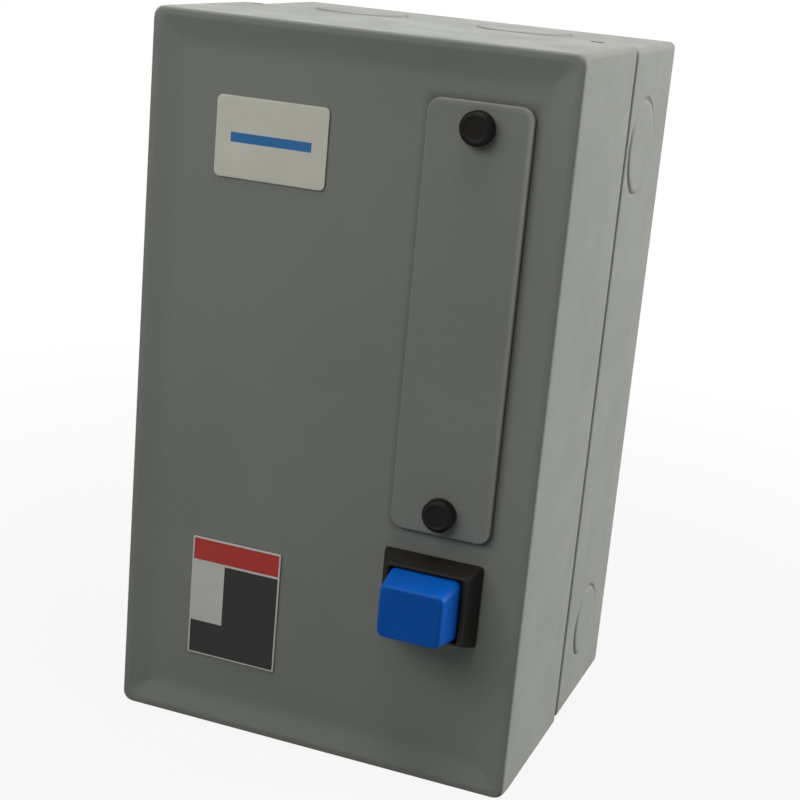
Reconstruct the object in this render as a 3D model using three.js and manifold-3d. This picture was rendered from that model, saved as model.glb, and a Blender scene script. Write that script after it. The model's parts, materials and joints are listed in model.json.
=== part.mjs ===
// Magnetic motor starter in a sheet-metal enclosure with a hook-on cover.
// Millimetres. The origin is the centre of the face that lies on the wall.
// +X is to the right, +Y goes into the wall and +Z is up, so the front of the cover faces -Y.
import * as THREE from "three";
import { mergeVertices } from "three/addons/utils/BufferGeometryUtils.js";
import Module from "manifold-3d";

const wasm = await Module();
wasm.setup();

// ---- driving dimensions -------------------------------------------------------------------
const fitGap = 0.3; // between pieces that rest on each other
const runGap = 0.5; // between pieces that slide past each other

// Enclosure
const overallWidth = 147;
const overallHeight = 250;
const overallDepth = 125; // wall to the raised rim of the front
const coverDepth = 64;
const lapDepth = 11; // how far the base's lip reaches inside the cover
const seamGap = 3; // groove left open between the edge of the cover and the walls of the base
const baseStep = 1; // the top and bottom walls of the base lie this far inside the cover's; its sides are flush
const sheet = 1.5;
const coverCorner = 3;
const baseCorner = 3;
const lipCorner = 2;
const dishRim = 1.5; // flat rim around the dished front
const dishBand = 9; // width of the sloping band
const dishDepth = 2;

// Hooks that hang the cover, and its screw below
const hookLeft = 7.5; // from the left side of the cover
const hookRight = 13.5; // from the right side
const hookWidth = 5;
const hookToe = 4;
const hookSlotShows = 2.2; // slot left open behind the hook
const coverOpening = 60; // degrees that the cover swings, which sets the length of the hook slots
const coverScrewRadius = 2;
const coverScrewInset = 5; // behind the front edge of the base
const coverNut = [12, 9, 2.5]; // width, depth and height of the clip nut

// Conduit knockouts: [distance from the wall, place along the wall, radius]
const knockoutSlit = 0.7;
const knockoutTie = 4;
const knockoutTieTurn = 128; // degrees, from the back towards the top
const sideKnockouts = [
  [37.6, 89.3, 17.45],
  [31, -93.7, 14.3],
];
const endKnockouts = [
  [32, -38, 17.45],
  [32, 25, 17.45],
];

// Wall fixing holes in the back
const wallHoleRadius = 3;
const wallHoleInset = 10; // from the ends of the enclosure
const wallHoleSpread = 45;

// Blank plate over the pilot-device cut-out
const plateWidth = 35.2;
const plateHeight = 143;
const plateRight = 31.8; // middle of the plate, from the right side of the cover
const plateTop = 89.2; // middle of the plate, from the top of the cover
const plateThickness = 1.5;
const plateCorner = 4.5;
const studSpacing = 127;
const studHeadRadius = 6.25;
const studHeadHeight = 4.2;
const studShankRadius = 3.2;
const studBarb = [1.2, 4.5]; // the barb behind the panel: how far it stands out, and its length

// Reset button on the cover
const resetInset = 13.4; // from the right side of the overload relay
const resetDrop = 3; // below the middle of the overload relay
const bezelWidth = 35;
const bezelHeight = 29;
const bezelRise = 8;
const bezelWall = 1.3;
const bezelNeck = 4.5; // neck length behind the panel
const buttonWidth = 25;
const buttonHeight = 21.2;
const buttonTaper = 1.4; // how much narrower the front is, each side
const buttonRise = 12.5; // above the bezel
const buttonTravel = 4.5;
const stemRadius = 4;
const cage = [41, 33, 2, 12]; // width, height, thickness, and width of its legs
const springLength = 11.2; // reset spring pressed home

// Stickers: width, height, and their middle from the left side and from the nearer end of the cover
const ratingSticker = [40, 26.8, 44.5, 39.3];
const noticeSticker = [34, 44.5, 41.7, 47.3];
const stickerThickness = 0.3;

// Starter: mounting plate, contactor and overload relay
const starterRight = 55.5; // middle of the starter, from the right side of the cover
const bossHeight = 3;
const bossRadius = 6;
const mountingPlateMargin = 6; // beyond the sides of the contactor
const plateScrewRoom = 6; // from the devices to the middle of a plate screw
const plateScrewInset = 4.5; // from the ends of the mounting plate
const poles = [-1, 0, 1];
const deviceWidth = 72;
const poleMargin = 1.5; // from the outer poles' cells to the sides of the mouldings
const contactorZ = 42;
const contactorHalf = 57;
const chamberHalf = 43;
const contactorBaseDepth = 40;
const mouldWall = 5; // side and back walls of the contactor base
const coilRoom = 1.5; // between the bobbin and the walls above and below it
const shelfDepth = 55.9; // terminal shelves of contactor and relay, from their back
const chamberDepth = 82;
const coreSeat = 4; // floor under the magnet core
const coreRoom = 3; // between the magnet and the side walls
const coreHalfStack = 9;
const coreBar = 8;
const coreLeg = 18; // length of the legs
const centreLeg = 14;
const outerLeg = 7;
const armatureLeg = 8;
const armatureRoomOver = 1.7; // above and below the armature
const bobbinHalfHeight = 19;
const bobbinRoom = 2; // between the bobbin's flanges and the outer legs
const bobbinWall = 1;
const bobbinFlange = 1.2;
const windingInset = 1; // from the edge of the flanges
const windingRound = 6;
const contactorTravel = 4.7;
const crossbarDepth = 28;
const crossbarInset = 5; // from the sides of the mouldings
const crossbarHalfHeight = 5;
const crossbarWindow = [5, 4, 13]; // half a window's width, and the walls in front of and behind it
const bridgeHalf = 20;
const bridgeWidth = 8;
const bridgeThickness = 2;
const contactZ = 16; // fixed contacts, from the middle of the contactor
const contactTip = 1; // height of the round contact tips
const contactRadius = 3;
const stripWidth = 8;
const stripThickness = 2;
const terminalScrewRadius = 2;
const relayBelow = 1; // gap under the contactor
const relayHalf = 39;
const relayCoverBottom = -25;
const relayCoverDepth = 86;
const plungerRadius = 4;
const plungerOut = 4.5; // proud of the relay cover
const tripTravel = 3;
const dialRadius = 7.2;
const dialInset = 18; // from the left side of the overload relay
const dialZ = 8;
const auxiliaryWidth = 14;
const auxiliaryHalf = 28;
const auxiliaryDepth = 60;
const wireRadius = 1.25;

// ---- worked-out places ----------------------------------------------------------------------
const baseWidth = overallWidth;
const baseHeight = overallHeight - 2 * baseStep;
const lipWidth = overallWidth - 2 * (sheet + runGap);
const lipHeight = overallHeight - 2 * (sheet + runGap);
const [rightX, topZ] = [overallWidth / 2, overallHeight / 2];
const hookXs = [hookLeft - rightX, rightX - hookRight];
const [plateX, plateZ] = [rightX - plateRight, topZ - plateTop];
const starterX = rightX - starterRight;
const screwHoleRadius = terminalScrewRadius + fitGap;
const dialX = dialInset - deviceWidth / 2;
const polePitch = (deviceWidth - 2 * poleMargin) / poles.length;
const coreHalfWidth = deviceWidth / 2 - mouldWall - coreRoom;
const bobbinHalfWidth = coreHalfWidth - outerLeg - bobbinRoom;
const coilRoomHalf = bobbinHalfHeight + coilRoom;
const crossbarHalf = [deviceWidth / 2 - crossbarInset, crossbarHalfHeight];
const relayZ = contactorZ - contactorHalf - relayBelow - relayHalf;
const [resetX, resetZ] = [starterX + deviceWidth / 2 - resetInset, relayZ - resetDrop];
const openGap = contactorTravel + runGap; // between core and armature, and between contacts
const seamY = coverDepth - overallDepth;
const baseFrontY = seamY - lapDepth;
const panelY = dishDepth - overallDepth; // front face of the dished panel
const panelBackY = panelY + sheet;
const bezelFrontY = panelY - fitGap - bezelRise;
const neckEndY = panelBackY + bezelNeck;
const coverScrewY = baseFrontY + coverScrewInset;
const starterY = -(sheet + bossHeight + fitGap + sheet + fitGap); // back of contactor and relay
const relayFrontY = starterY - relayCoverDepth;
const stemEndY = relayFrontY - plungerOut - runGap;

// ---- geometry helpers -------------------------------------------------------------------------
function solid(geometry) {
  const bare = geometry.clone();
  bare.deleteAttribute("normal");
  bare.deleteAttribute("uv");
  const merged = mergeVertices(bare, 1e-4);
  const vertProperties = merged.attributes.position.array;
  const triVerts = new Uint32Array(merged.index.array);
  return new wasm.Manifold(new wasm.Mesh({ numProp: 3, vertProperties, triVerts }));
}

function geometryOf(body) {
  const mesh = body.getMesh();
  const geometry = new THREE.BufferGeometry();
  geometry.setAttribute("position", new THREE.BufferAttribute(mesh.vertProperties, 3));
  geometry.setIndex(new THREE.BufferAttribute(mesh.triVerts, 1));
  return geometry;
}

// A box between two limits on each axis.
function block([x0, x1], [y0, y1], [z0, z1]) {
  const geometry = new THREE.BoxGeometry(x1 - x0, y1 - y0, z1 - z0);
  return solid(geometry.translate((x0 + x1) / 2, (y0 + y1) / 2, (z0 + z1) / 2));
}

// Turns a geometry so that its own +Z points along the given axis.
function pointed(geometry, axis) {
  const [x, y, z] = [new THREE.Vector3(1, 0, 0), new THREE.Vector3(0, 1, 0), new THREE.Vector3(0, 0, 1)];
  const turns = { x: [y, z, x], y: [x, z, y.clone().negate()], z: [x, y, z] };
  return geometry.applyMatrix4(new THREE.Matrix4().makeBasis(...turns[axis]));
}

// An outline in the XZ plane, extruded from y0 to y1.
function slabY(shape, [y0, y1], curveSegments = 4) {
  const geometry = new THREE.ExtrudeGeometry(shape, { depth: y1 - y0, bevelEnabled: false, curveSegments });
  return solid(pointed(geometry, "y").translate(0, y1, 0));
}

// An outline in the YZ plane, extruded from x0 to x1.
function slabX(shape, [x0, x1], curveSegments = 4) {
  const geometry = new THREE.ExtrudeGeometry(shape, { depth: x1 - x0, bevelEnabled: false, curveSegments });
  return solid(pointed(geometry, "x").translate(x0, 0, 0));
}

// An outline in the XY plane, extruded from z0 to z1.
function slabZ(shape, [z0, z1], curveSegments = 4) {
  const geometry = new THREE.ExtrudeGeometry(shape, { depth: z1 - z0, bevelEnabled: false, curveSegments });
  return solid(geometry.translate(0, 0, z0));
}

const slabs = { x: slabX, y: slabY, z: slabZ };

// A round bar along an axis, at the given place on the other two axes.
function rod(axis, radius, limits, [u, v], sides = 16) {
  const circle = new THREE.Shape();
  circle.absarc(u, v, radius, 0, 2 * Math.PI);
  return slabs[axis](circle, limits, sides / 2);
}

// A rectangle with rounded corners.
function roundRect(width, height, radius, x = 0, z = 0) {
  const [right, up] = [width / 2 - radius, height / 2 - radius];
  const shape = new THREE.Shape();
  shape.absarc(x + right, z + up, radius, 0, Math.PI / 2);
  shape.absarc(x - right, z + up, radius, Math.PI / 2, Math.PI);
  shape.absarc(x - right, z - up, radius, Math.PI, 1.5 * Math.PI);
  shape.absarc(x + right, z - up, radius, 1.5 * Math.PI, 2 * Math.PI);
  return shape;
}

// A polygon through the points given.
function outline(points) {
  return new THREE.Shape(points.map(([u, v]) => new THREE.Vector2(u, v)));
}

// A profile of [radius, y] points turned about the Y axis through (x, z), from its high y to its low y.
function turned(profile, [x, z], sides = 16) {
  const points = profile.map(([radius, y]) => new THREE.Vector2(radius, y)).reverse();
  return solid(new THREE.LatheGeometry(points, sides).translate(x, 0, z));
}

// A four-sided block that narrows evenly from a back outline at y1 to a front outline at y0.
function tapered([width, height], inset, [y0, y1], [x, z]) {
  const shape = outline([
    [x - width / 2 + inset, z - height / 2 + inset],
    [x + width / 2 - inset, z - height / 2 + inset],
    [x + width / 2 - inset, z + height / 2 - inset],
    [x - width / 2 + inset, z + height / 2 - inset],
  ]);
  const rise = y1 - y0;
  const bevel = { bevelEnabled: true, bevelThickness: rise, bevelSize: inset, bevelSegments: 1 };
  const geometry = new THREE.ExtrudeGeometry(shape, { depth: rise, steps: 1, curveSegments: 1, ...bevel });
  const both = solid(pointed(geometry, "y").translate(0, y1 + rise, 0));
  const front = block([x - width, x + width], [y0 - rise, y1], [z - height, z + height]);
  return both.intersect(front);
}

function join(bodies) {
  return bodies.reduce((sum, body) => sum.add(body));
}

function cut(body, tools) {
  return tools.reduce((left, tool) => left.subtract(tool), body);
}

// A closed coil of round wire about a line along Y.
class Coil extends THREE.Curve {
  constructor(radius, y0, y1, turns, [x, z]) {
    super();
    Object.assign(this, { radius, y0, y1, turns, x, z });
  }
  getPoint(t) {
    const angle = 2 * Math.PI * this.turns * t;
    const [x, z] = [this.x + this.radius * Math.cos(angle), this.z + this.radius * Math.sin(angle)];
    return new THREE.Vector3(x, this.y0 + (this.y1 - this.y0) * t, z);
  }
}

function tube(path, radius, steps, sides) {
  const circle = new THREE.Shape();
  circle.absarc(0, 0, radius, 0, 2 * Math.PI);
  return solid(new THREE.ExtrudeGeometry(circle, { extrudePath: path, steps, curveSegments: sides / 2 }));
}

function coilSpring(outerRadius, wire, [y0, y1], turns, centre) {
  const path = new Coil(outerRadius - wire, y0 + wire, y1 - wire, turns, centre);
  return tube(path, wire, turns * 8, 6);
}

// A slotted screw with its head to the front: the underside of the head lies at y.
function screwY([x, z], y, shankRadius, length, headRadius, headHeight) {
  const head = turned(
    [
      [0, y + length],
      [shankRadius, y + length],
      [shankRadius, y],
      [headRadius, y],
      [headRadius, y - headHeight * 0.6],
      [headRadius * 0.75, y - headHeight],
      [0, y - headHeight],
    ],
    [x, z],
    12,
  );
  const half = headRadius * 0.14;
  const slotFloor = y - headHeight * 0.5;
  const slot = block([x - headRadius, x + headRadius], [y - headHeight - 1, slotFloor], [z - half, z + half]);
  return head.subtract(slot);
}

// ---- finishes ---------------------------------------------------------------------------------
function finish(color, roughness, metalness) {
  return () => new THREE.MeshStandardMaterial({ color, roughness, metalness });
}
const paint = finish("#767b73", 0.55, 0.1);
const blackPlastic = finish("#232220", 0.45, 0);
const bluePlastic = finish("#14549c", 0.4, 0);
const darkMoulding = finish("#3a3b3c", 0.6, 0);
const paleMoulding = finish("#8b8f90", 0.55, 0);
const zincSteel = finish("#b9bbb8", 0.35, 0.9);
const laminations = finish("#6c6d6f", 0.45, 0.8);
const copper = finish("#b87348", 0.35, 0.9);
const silverPlate = finish("#c9c6bd", 0.3, 0.9);
const brass = finish("#b8985a", 0.35, 0.9);
const windingWire = finish("#8c4a24", 0.4, 0.6);
const nickelAlloy = finish("#9c9689", 0.4, 0.85);
const greenZinc = finish("#2f7a45", 0.4, 0.6);
const wireCover = finish("#8f1f1c", 0.5, 0);
const paper = finish("#dcdcd4", 0.6, 0);
const redPlastic = finish("#a8342a", 0.45, 0);

const starterBox = new THREE.Group();

function place(parent, name, body, material) {
  const mesh = new THREE.Mesh(geometryOf(body), material());
  mesh.name = name;
  parent.add(mesh);
  return mesh;
}

function groupAt(parent, x, y, z) {
  const group = new THREE.Group();
  group.position.set(x, y, z);
  parent.add(group);
  return group;
}

// ---- enclosure base -----------------------------------------------------------------------------
// The round slit of a knockout, in two arcs, so that two ties still hold the slug.
function knockoutSlits(axis, limits, [u, v, radius]) {
  const tieAngle = knockoutTie / radius;
  const turn = THREE.MathUtils.degToRad(knockoutTieTurn);
  return [turn, turn + Math.PI].map((start) => {
    const [from, to] = [start + tieAngle / 2, start + Math.PI - tieAngle / 2];
    const arc = new THREE.Shape();
    arc.absarc(u, v, radius, from, to, false);
    arc.absarc(u, v, radius - knockoutSlit, to, from, true);
    return slabs[axis](arc, limits, 6);
  });
}

// Slots in the top wall for the hooks: long enough for the hook to swing with the cover.
function hookSlots() {
  const heights = [lipHeight / 2 - sheet - 1, baseHeight / 2 + 1];
  const swing = (sheet + runGap + sheet) * Math.tan(THREE.MathUtils.degToRad(coverOpening / 2));
  const [front, rear] = [seamY - runGap - 2 * swing, seamY + sheet + hookSlotShows];
  const half = hookWidth / 2 + runGap;
  return hookXs.map((x) => block([x - half, x + half], [front, rear], heights));
}

const plateScrewZs = [contactorZ + contactorHalf + plateScrewRoom, relayZ - relayHalf - plateScrewRoom];
const plateScrewPlaces = plateScrewZs.map((z) => [starterX, z]);
const groundPlace = [starterX - deviceWidth / 2 - auxiliaryWidth - 13, relayZ - relayHalf];
const bossPlaces = [...plateScrewPlaces, groundPlace];

// The base: its walls step in towards the front, to a lip that goes inside the cover.
function makeBase() {
  const wallFrontY = seamY + seamGap;
  const walls = slabY(roundRect(baseWidth, baseHeight, baseCorner), [wallFrontY, 0]);
  const lip = slabY(roundRect(lipWidth, lipHeight, lipCorner), [baseFrontY, wallFrontY + sheet]);
  const wallRoom = roundRect(baseWidth - 2 * sheet, baseHeight - 2 * sheet, baseCorner - sheet);
  const lipRoom = roundRect(lipWidth - 2 * sheet, lipHeight - 2 * sheet, lipCorner - sheet);
  const rooms = [slabY(wallRoom, [wallFrontY + sheet, -sheet]), slabY(lipRoom, [baseFrontY - 1, -sheet])];
  const pan = cut(join([walls, lip]), rooms);
  const bosses = bossPlaces.map((at) => rod("y", bossRadius, [-sheet - bossHeight, -sheet / 2], at));
  const holeLimits = [-sheet - bossHeight - 1, 1];
  const bossHoles = bossPlaces.map((at) => rod("y", screwHoleRadius, holeLimits, at, 12));
  const wallHoles = [
    [0, topZ - wallHoleInset],
    [-wallHoleSpread, wallHoleInset - topZ],
    [wallHoleSpread, wallHoleInset - topZ],
  ].map((at) => rod("y", wallHoleRadius, [-sheet - 1, 1], at, 12));
  const sideLimits = [-baseWidth / 2 - 1, baseWidth / 2 + 1];
  const endLimits = [-baseHeight / 2 - 1, baseHeight / 2 + 1];
  const slits = [
    ...sideKnockouts.map(([deep, z, radius]) => knockoutSlits("x", sideLimits, [-deep, z, radius])),
    ...endKnockouts.map(([deep, x, radius]) => knockoutSlits("z", endLimits, [x, -deep, radius])),
  ];
  const bottom = -lipHeight / 2;
  const screwHole = rod("z", coverScrewRadius + runGap, [bottom - 1, bottom + sheet + 1], [0, coverScrewY], 12);
  const holes = [...bossHoles, ...wallHoles, ...slits.flat(), ...hookSlots(), screwHole];
  return cut(join([pan, ...bosses]), holes);
}

// ---- cover ----------------------------------------------------------------------------------------
// The dished recess in the front: full size at the rim, narrower at the panel.
function dishTool(shift) {
  const inset = 2 * (dishRim + dishBand);
  const floor = roundRect(overallWidth - inset, overallHeight - inset, 1);
  const bevel = { bevelEnabled: true, bevelThickness: dishDepth, bevelSize: dishBand, bevelSegments: 1 };
  const geometry = new THREE.ExtrudeGeometry(floor, { depth: 3, curveSegments: 2, ...bevel });
  return solid(pointed(geometry, "y").translate(0, shift - overallDepth, 0));
}

// A hook: down through the top wall of the base, then a toe that reaches back under it.
function coverHook(x) {
  const top = overallHeight / 2;
  const toeTop = lipHeight / 2 - sheet - fitGap;
  const limits = [x - hookWidth / 2, x + hookWidth / 2];
  const toeBottom = toeTop - sheet;
  const profile = outline([
    [seamY - sheet, top - sheet],
    [seamY, top - sheet],
    [seamY, toeBottom],
    [seamY + sheet + hookToe, toeBottom],
    [seamY + sheet + hookToe, toeTop],
    [seamY + sheet, toeTop],
    [seamY + sheet, top],
    [seamY - sheet, top],
  ]);
  return slabX(profile, limits);
}

const neckWidth = buttonWidth + 2 * (runGap + bezelWall);
const neckHeight = buttonHeight + 2 * (runGap + bezelWall);

function makeCover() {
  const shell = slabY(roundRect(overallWidth, overallHeight, coverCorner), [-overallDepth, seamY]);
  const inside = roundRect(overallWidth - 2 * sheet, overallHeight - 2 * sheet, coverCorner - sheet);
  const cavity = slabY(inside, [sheet - overallDepth, seamY + 1]).subtract(dishTool(sheet));
  const pan = cut(shell, [dishTool(0), cavity]);
  const through = [panelY - 1, panelBackY + 1];
  const windowHeight = studSpacing - 4 * studHeadRadius;
  const window = slabY(roundRect(plateWidth - 10, windowHeight, 2, plateX, plateZ), through, 2);
  const studHoles = studZs.map((z) => rod("y", studShankRadius + fitGap, through, [plateX, z], 12));
  const neckShape = roundRect(neckWidth + 2 * fitGap, neckHeight + 2 * fitGap, 1, resetX, resetZ);
  const neckHole = slabY(neckShape, through, 1);
  const half = coverScrewRadius + runGap;
  const flange = [-overallHeight / 2 - 1, -overallHeight / 2 + sheet + 1];
  const notch = block([-half, half], [coverScrewY, seamY + 1], flange);
  const notchEnd = rod("z", half, flange, [0, coverScrewY], 12);
  return cut(join([pan, ...hookXs.map(coverHook)]), [window, ...studHoles, neckHole, notch, notchEnd]);
}

// The screw that holds the cover shut, from below, and the nut that is clipped inside the base.
function makeCoverScrew() {
  const reach = 2 * (sheet + fitGap) + runGap + coverNut[2] + 1;
  const head = screwY([0, 0], 0, coverScrewRadius, reach, 4, 2.2);
  const upright = new THREE.Matrix4().makeBasis(
    new THREE.Vector3(1, 0, 0),
    new THREE.Vector3(0, 0, 1),
    new THREE.Vector3(0, -1, 0),
  );
  const seat = -overallHeight / 2 - fitGap;
  return solid(geometryOf(head).applyMatrix4(upright).translate(0, coverScrewY, seat));
}

function makeCoverNut() {
  const floor = -lipHeight / 2 + sheet + fitGap;
  const [halfWidth, halfDepth] = [coverNut[0] / 2, coverNut[1] / 2];
  const depths = [coverScrewY - halfDepth, coverScrewY + halfDepth];
  const plate = block([-halfWidth, halfWidth], depths, [floor, floor + coverNut[2]]);
  const through = [floor - 1, floor + coverNut[2] + 1];
  return plate.subtract(rod("z", coverScrewRadius + fitGap, through, [0, coverScrewY], 12));
}

// ---- blank plate, studs and stickers ------------------------------------------------------------------
const studZs = [plateZ + studSpacing / 2, plateZ - studSpacing / 2];
const plateBackY = panelY - fitGap;
const plateFrontY = plateBackY - plateThickness;

function makeBlankPlate() {
  const shape = roundRect(plateWidth, plateHeight, plateCorner, plateX, plateZ);
  const plate = slabY(shape, [plateFrontY, plateBackY]);
  const through = [plateFrontY - 1, plateBackY + 1];
  return cut(plate, studZs.map((z) => rod("y", studShankRadius + fitGap, through, [plateX, z], 12)));
}

function makeStud(z) {
  const seat = plateFrontY - fitGap;
  const barbSeat = panelBackY + fitGap;
  const barb = studShankRadius + studBarb[0];
  const profile = [
    [0, barbSeat + studBarb[1]],
    [studShankRadius - 1, barbSeat + studBarb[1]],
    [barb, barbSeat],
    [studShankRadius, barbSeat],
    [studShankRadius, seat],
    [studHeadRadius, seat],
    [studHeadRadius, seat - studHeadHeight * 0.7],
    [studHeadRadius - studHeadHeight * 0.3, seat - studHeadHeight],
    [0, seat - studHeadHeight],
  ];
  return turned(profile, [plateX, z], 20);
}

function makeSticker([width, height, fromLeft, fromEnd], end) {
  const back = panelY - fitGap;
  const shape = roundRect(width, height, 1.5, fromLeft - rightX, end * (topZ - fromEnd));
  return slabY(shape, [back - stickerThickness, back], 3);
}

// ---- reset button ---------------------------------------------------------------------------------
const cageRearY = neckEndY + fitGap + sheet + springLength + buttonTravel;

function rectRing(outer, inner, limits) {
  const hole = roundRect(inner[0], inner[1], 0.8, resetX, resetZ);
  const body = slabY(roundRect(outer[0], outer[1], 1.5, resetX, resetZ), limits, 1);
  return body.subtract(slabY(hole, [limits[0] - 1, limits[1] + 1], 1));
}

function makeBezel() {
  const rimInset = (bezelWidth - neckWidth) / 2 - fitGap;
  const back = panelY - fitGap;
  const flare = tapered([bezelWidth, bezelHeight], rimInset, [bezelFrontY, back], [resetX, resetZ]);
  const neck = slabY(roundRect(neckWidth, neckHeight, 0.8, resetX, resetZ), [back - 1, neckEndY], 1);
  const opening = roundRect(buttonWidth + 2 * runGap, buttonHeight + 2 * runGap, 0.8, resetX, resetZ);
  return flare.add(neck).subtract(slabY(opening, [bezelFrontY - 1, neckEndY + 1], 1));
}

// The cage clips on the neck behind the panel and carries the rear end of the reset spring.
function makeCage() {
  const [width, height, thick, legWidth] = cage;
  const ringFront = panelBackY + fitGap;
  const ringBack = ringFront + thick;
  const hole = [neckWidth + 2 * fitGap, neckHeight + 2 * fitGap];
  const ring = rectRing([width, height], hole, [ringFront, ringBack]);
  const [half, rearEnd] = [width / 2, cageRearY + thick];
  const zs = [resetZ - legWidth / 2, resetZ + legWidth / 2];
  const legs = [-1, 1].map((side) => {
    const xs = [resetX + side * half, resetX + side * (half - thick)].sort((a, b) => a - b);
    return block(xs, [ringBack - thick / 2, rearEnd], zs);
  });
  const rear = block([resetX - half, resetX + half], [cageRearY, rearEnd], zs);
  const stemHole = rod("y", stemRadius + runGap, [cageRearY - 1, rearEnd + 1], [resetX, resetZ]);
  return join([ring, ...legs, rear.subtract(stemHole)]);
}

function makeButton() {
  const frontY = bezelFrontY - buttonRise;
  const size = [buttonWidth, buttonHeight];
  const cap = tapered(size, buttonTaper, [frontY, bezelFrontY], [resetX, resetZ]);
  const collarY = neckEndY + fitGap;
  const shank = slabY(roundRect(...size, 0.8, resetX, resetZ), [bezelFrontY - 0.2, collarY + 0.5], 1);
  const collarShape = roundRect(buttonWidth + 6, buttonHeight + 4, 1, resetX, resetZ);
  const collar = slabY(collarShape, [collarY, collarY + sheet], 1);
  const stem = rod("y", stemRadius, [collarY, stemEndY], [resetX, resetZ]);
  return join([cap, shank, collar, stem]);
}

function makeResetSpring() {
  const limits = [neckEndY + fitGap + sheet + fitGap, cageRearY - fitGap];
  return coilSpring(stemRadius + 2.4, 0.5, limits, 5, [resetX, resetZ]);
}

// ---- mounting plate -------------------------------------------------------------------------------
const mountingPlateY = [-(sheet + bossHeight + fitGap + sheet), -(sheet + bossHeight + fitGap)];

function makeMountingPlate() {
  const [top, bottom] = plateScrewZs;
  const size = [deviceWidth + 2 * mountingPlateMargin, top - bottom + 2 * plateScrewInset];
  const plate = slabY(roundRect(...size, 4, starterX, (top + bottom) / 2), mountingPlateY, 3);
  const through = [mountingPlateY[0] - 1, mountingPlateY[1] + 1];
  return cut(plate, plateScrewPlaces.map((at) => rod("y", screwHoleRadius, through, at, 12)));
}

// ---- contactor: y counts from its own back ------------------------------------------------------------
const coreBackY = -(coreSeat + fitGap);
const coreFrontY = coreBackY - coreBar - coreLeg;
const coilBackY = coreBackY - coreBar - fitGap;
const coilFrontY = coreFrontY + 1;
const armatureTipY = coreFrontY - openGap;
const armatureFrontY = armatureTipY - armatureLeg - coreBar;
const crossbarBackY = armatureFrontY - fitGap;
const windowBackY = crossbarBackY - crossbarWindow[2];
const bridgeBackY = windowBackY - fitGap;
const fixedContactY = bridgeBackY + contactTip + openGap;
const returnSpringZ = 14.5;
const poleX = (pole) => pole * polePitch;

// An E of laminations, with its legs along Y from the back bar to the tips.
function eCore(barLimits, tipY) {
  const legLimits = barLimits[0] > tipY ? [tipY, barLimits[0] + 1] : [barLimits[1] - 1, tipY];
  const stack = [-coreHalfStack, coreHalfStack];
  const bar = block([-coreHalfWidth, coreHalfWidth], barLimits, stack);
  const centre = block([-centreLeg / 2, centreLeg / 2], legLimits, stack);
  const outer = [-1, 1].map((side) => {
    const xs = [side * coreHalfWidth, side * (coreHalfWidth - outerLeg)].sort((a, b) => a - b);
    return block(xs, legLimits, stack);
  });
  return join([bar, centre, ...outer]);
}

function makeContactorBase() {
  const half = deviceWidth / 2;
  const body = slabY(roundRect(deviceWidth, 2 * contactorHalf, 2), [-contactorBaseDepth, 0], 2);
  const xs = [mouldWall - half, half - mouldWall];
  const cavity = block(xs, [-contactorBaseDepth - 1, -coreSeat], [-coilRoomHalf, coilRoomHalf]);
  const lightening = [-1, 1].map((side) => {
    const zs = [side * (coilRoomHalf + mouldWall), side * (contactorHalf - mouldWall)].sort((a, b) => a - b);
    return block(xs, [-contactorBaseDepth - 1, -2 * coreSeat], zs);
  });
  return cut(body, [cavity, ...lightening]);
}

function makeBobbin() {
  const half = [centreLeg / 2 + fitGap, coreHalfStack + fitGap];
  const flangeX = [-bobbinHalfWidth, bobbinHalfWidth];
  const flangeZ = [-bobbinHalfHeight, bobbinHalfHeight];
  const flange = (limits) => block(flangeX, limits, flangeZ);
  const [tubeX, tubeZ] = half.map((value) => [-(value + bobbinWall), value + bobbinWall]);
  const tubeBody = block(tubeX, [coilFrontY, coilBackY], tubeZ);
  const backFlange = flange([coilBackY - bobbinFlange, coilBackY]);
  const flanges = [backFlange, flange([coilFrontY, coilFrontY + bobbinFlange])];
  const bore = block([-half[0], half[0]], [coilFrontY - 1, coilBackY + 1], [-half[1], half[1]]);
  return join([tubeBody, ...flanges]).subtract(bore);
}

function makeWinding() {
  const inner = [centreLeg, 2 * coreHalfStack].map((size) => size + 2 * bobbinWall + 4 * fitGap);
  const limits = [coilFrontY + bobbinFlange + fitGap, coilBackY - bobbinFlange - fitGap];
  const [width, height] = [bobbinHalfWidth, bobbinHalfHeight].map((half) => 2 * (half - windingInset));
  const body = slabY(roundRect(width, height, windingRound), limits, 3);
  return body.subtract(slabY(roundRect(...inner, 0.5), [limits[0] - 1, limits[1] + 1], 1));
}

// The carrier of the moving contacts: clamped on the armature, with a window for each bridge.
function makeCrossbar() {
  const frontY = crossbarBackY - crossbarDepth;
  const [halfWidth, halfHeight] = crossbarHalf;
  const [windowHalf, frontWall] = crossbarWindow;
  const beam = block([-halfWidth, halfWidth], [frontY, crossbarBackY], [-halfHeight, halfHeight]);
  const ears = block([-5, 5], [crossbarBackY - 3, crossbarBackY], [-18.5, 18.5]);
  const clamps = [-1, 1].map((side) => {
    const inner = side * (coreHalfStack + fitGap);
    const zs = [inner, inner + side * 1.3].sort((a, b) => a - b);
    return block([-5, 5], [crossbarBackY - 1, armatureFrontY + 6], zs);
  });
  const windows = poles.map((pole) =>
    block([poleX(pole) - windowHalf, poleX(pole) + windowHalf], [frontY + frontWall, windowBackY], [-6, 6]),
  );
  return cut(join([beam, ears, ...clamps]), windows);
}

function makeBridge(pole) {
  const x = poleX(pole);
  const frontY = bridgeBackY - bridgeThickness;
  const xs = [x - bridgeWidth / 2, x + bridgeWidth / 2];
  const blade = block(xs, [frontY, bridgeBackY], [-bridgeHalf, bridgeHalf]);
  const tipLimits = [bridgeBackY - 0.5, bridgeBackY + contactTip];
  const tips = [-contactZ, contactZ].map((z) => rod("y", contactRadius, tipLimits, [x, z], 12));
  return join([blade, ...tips]);
}

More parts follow.
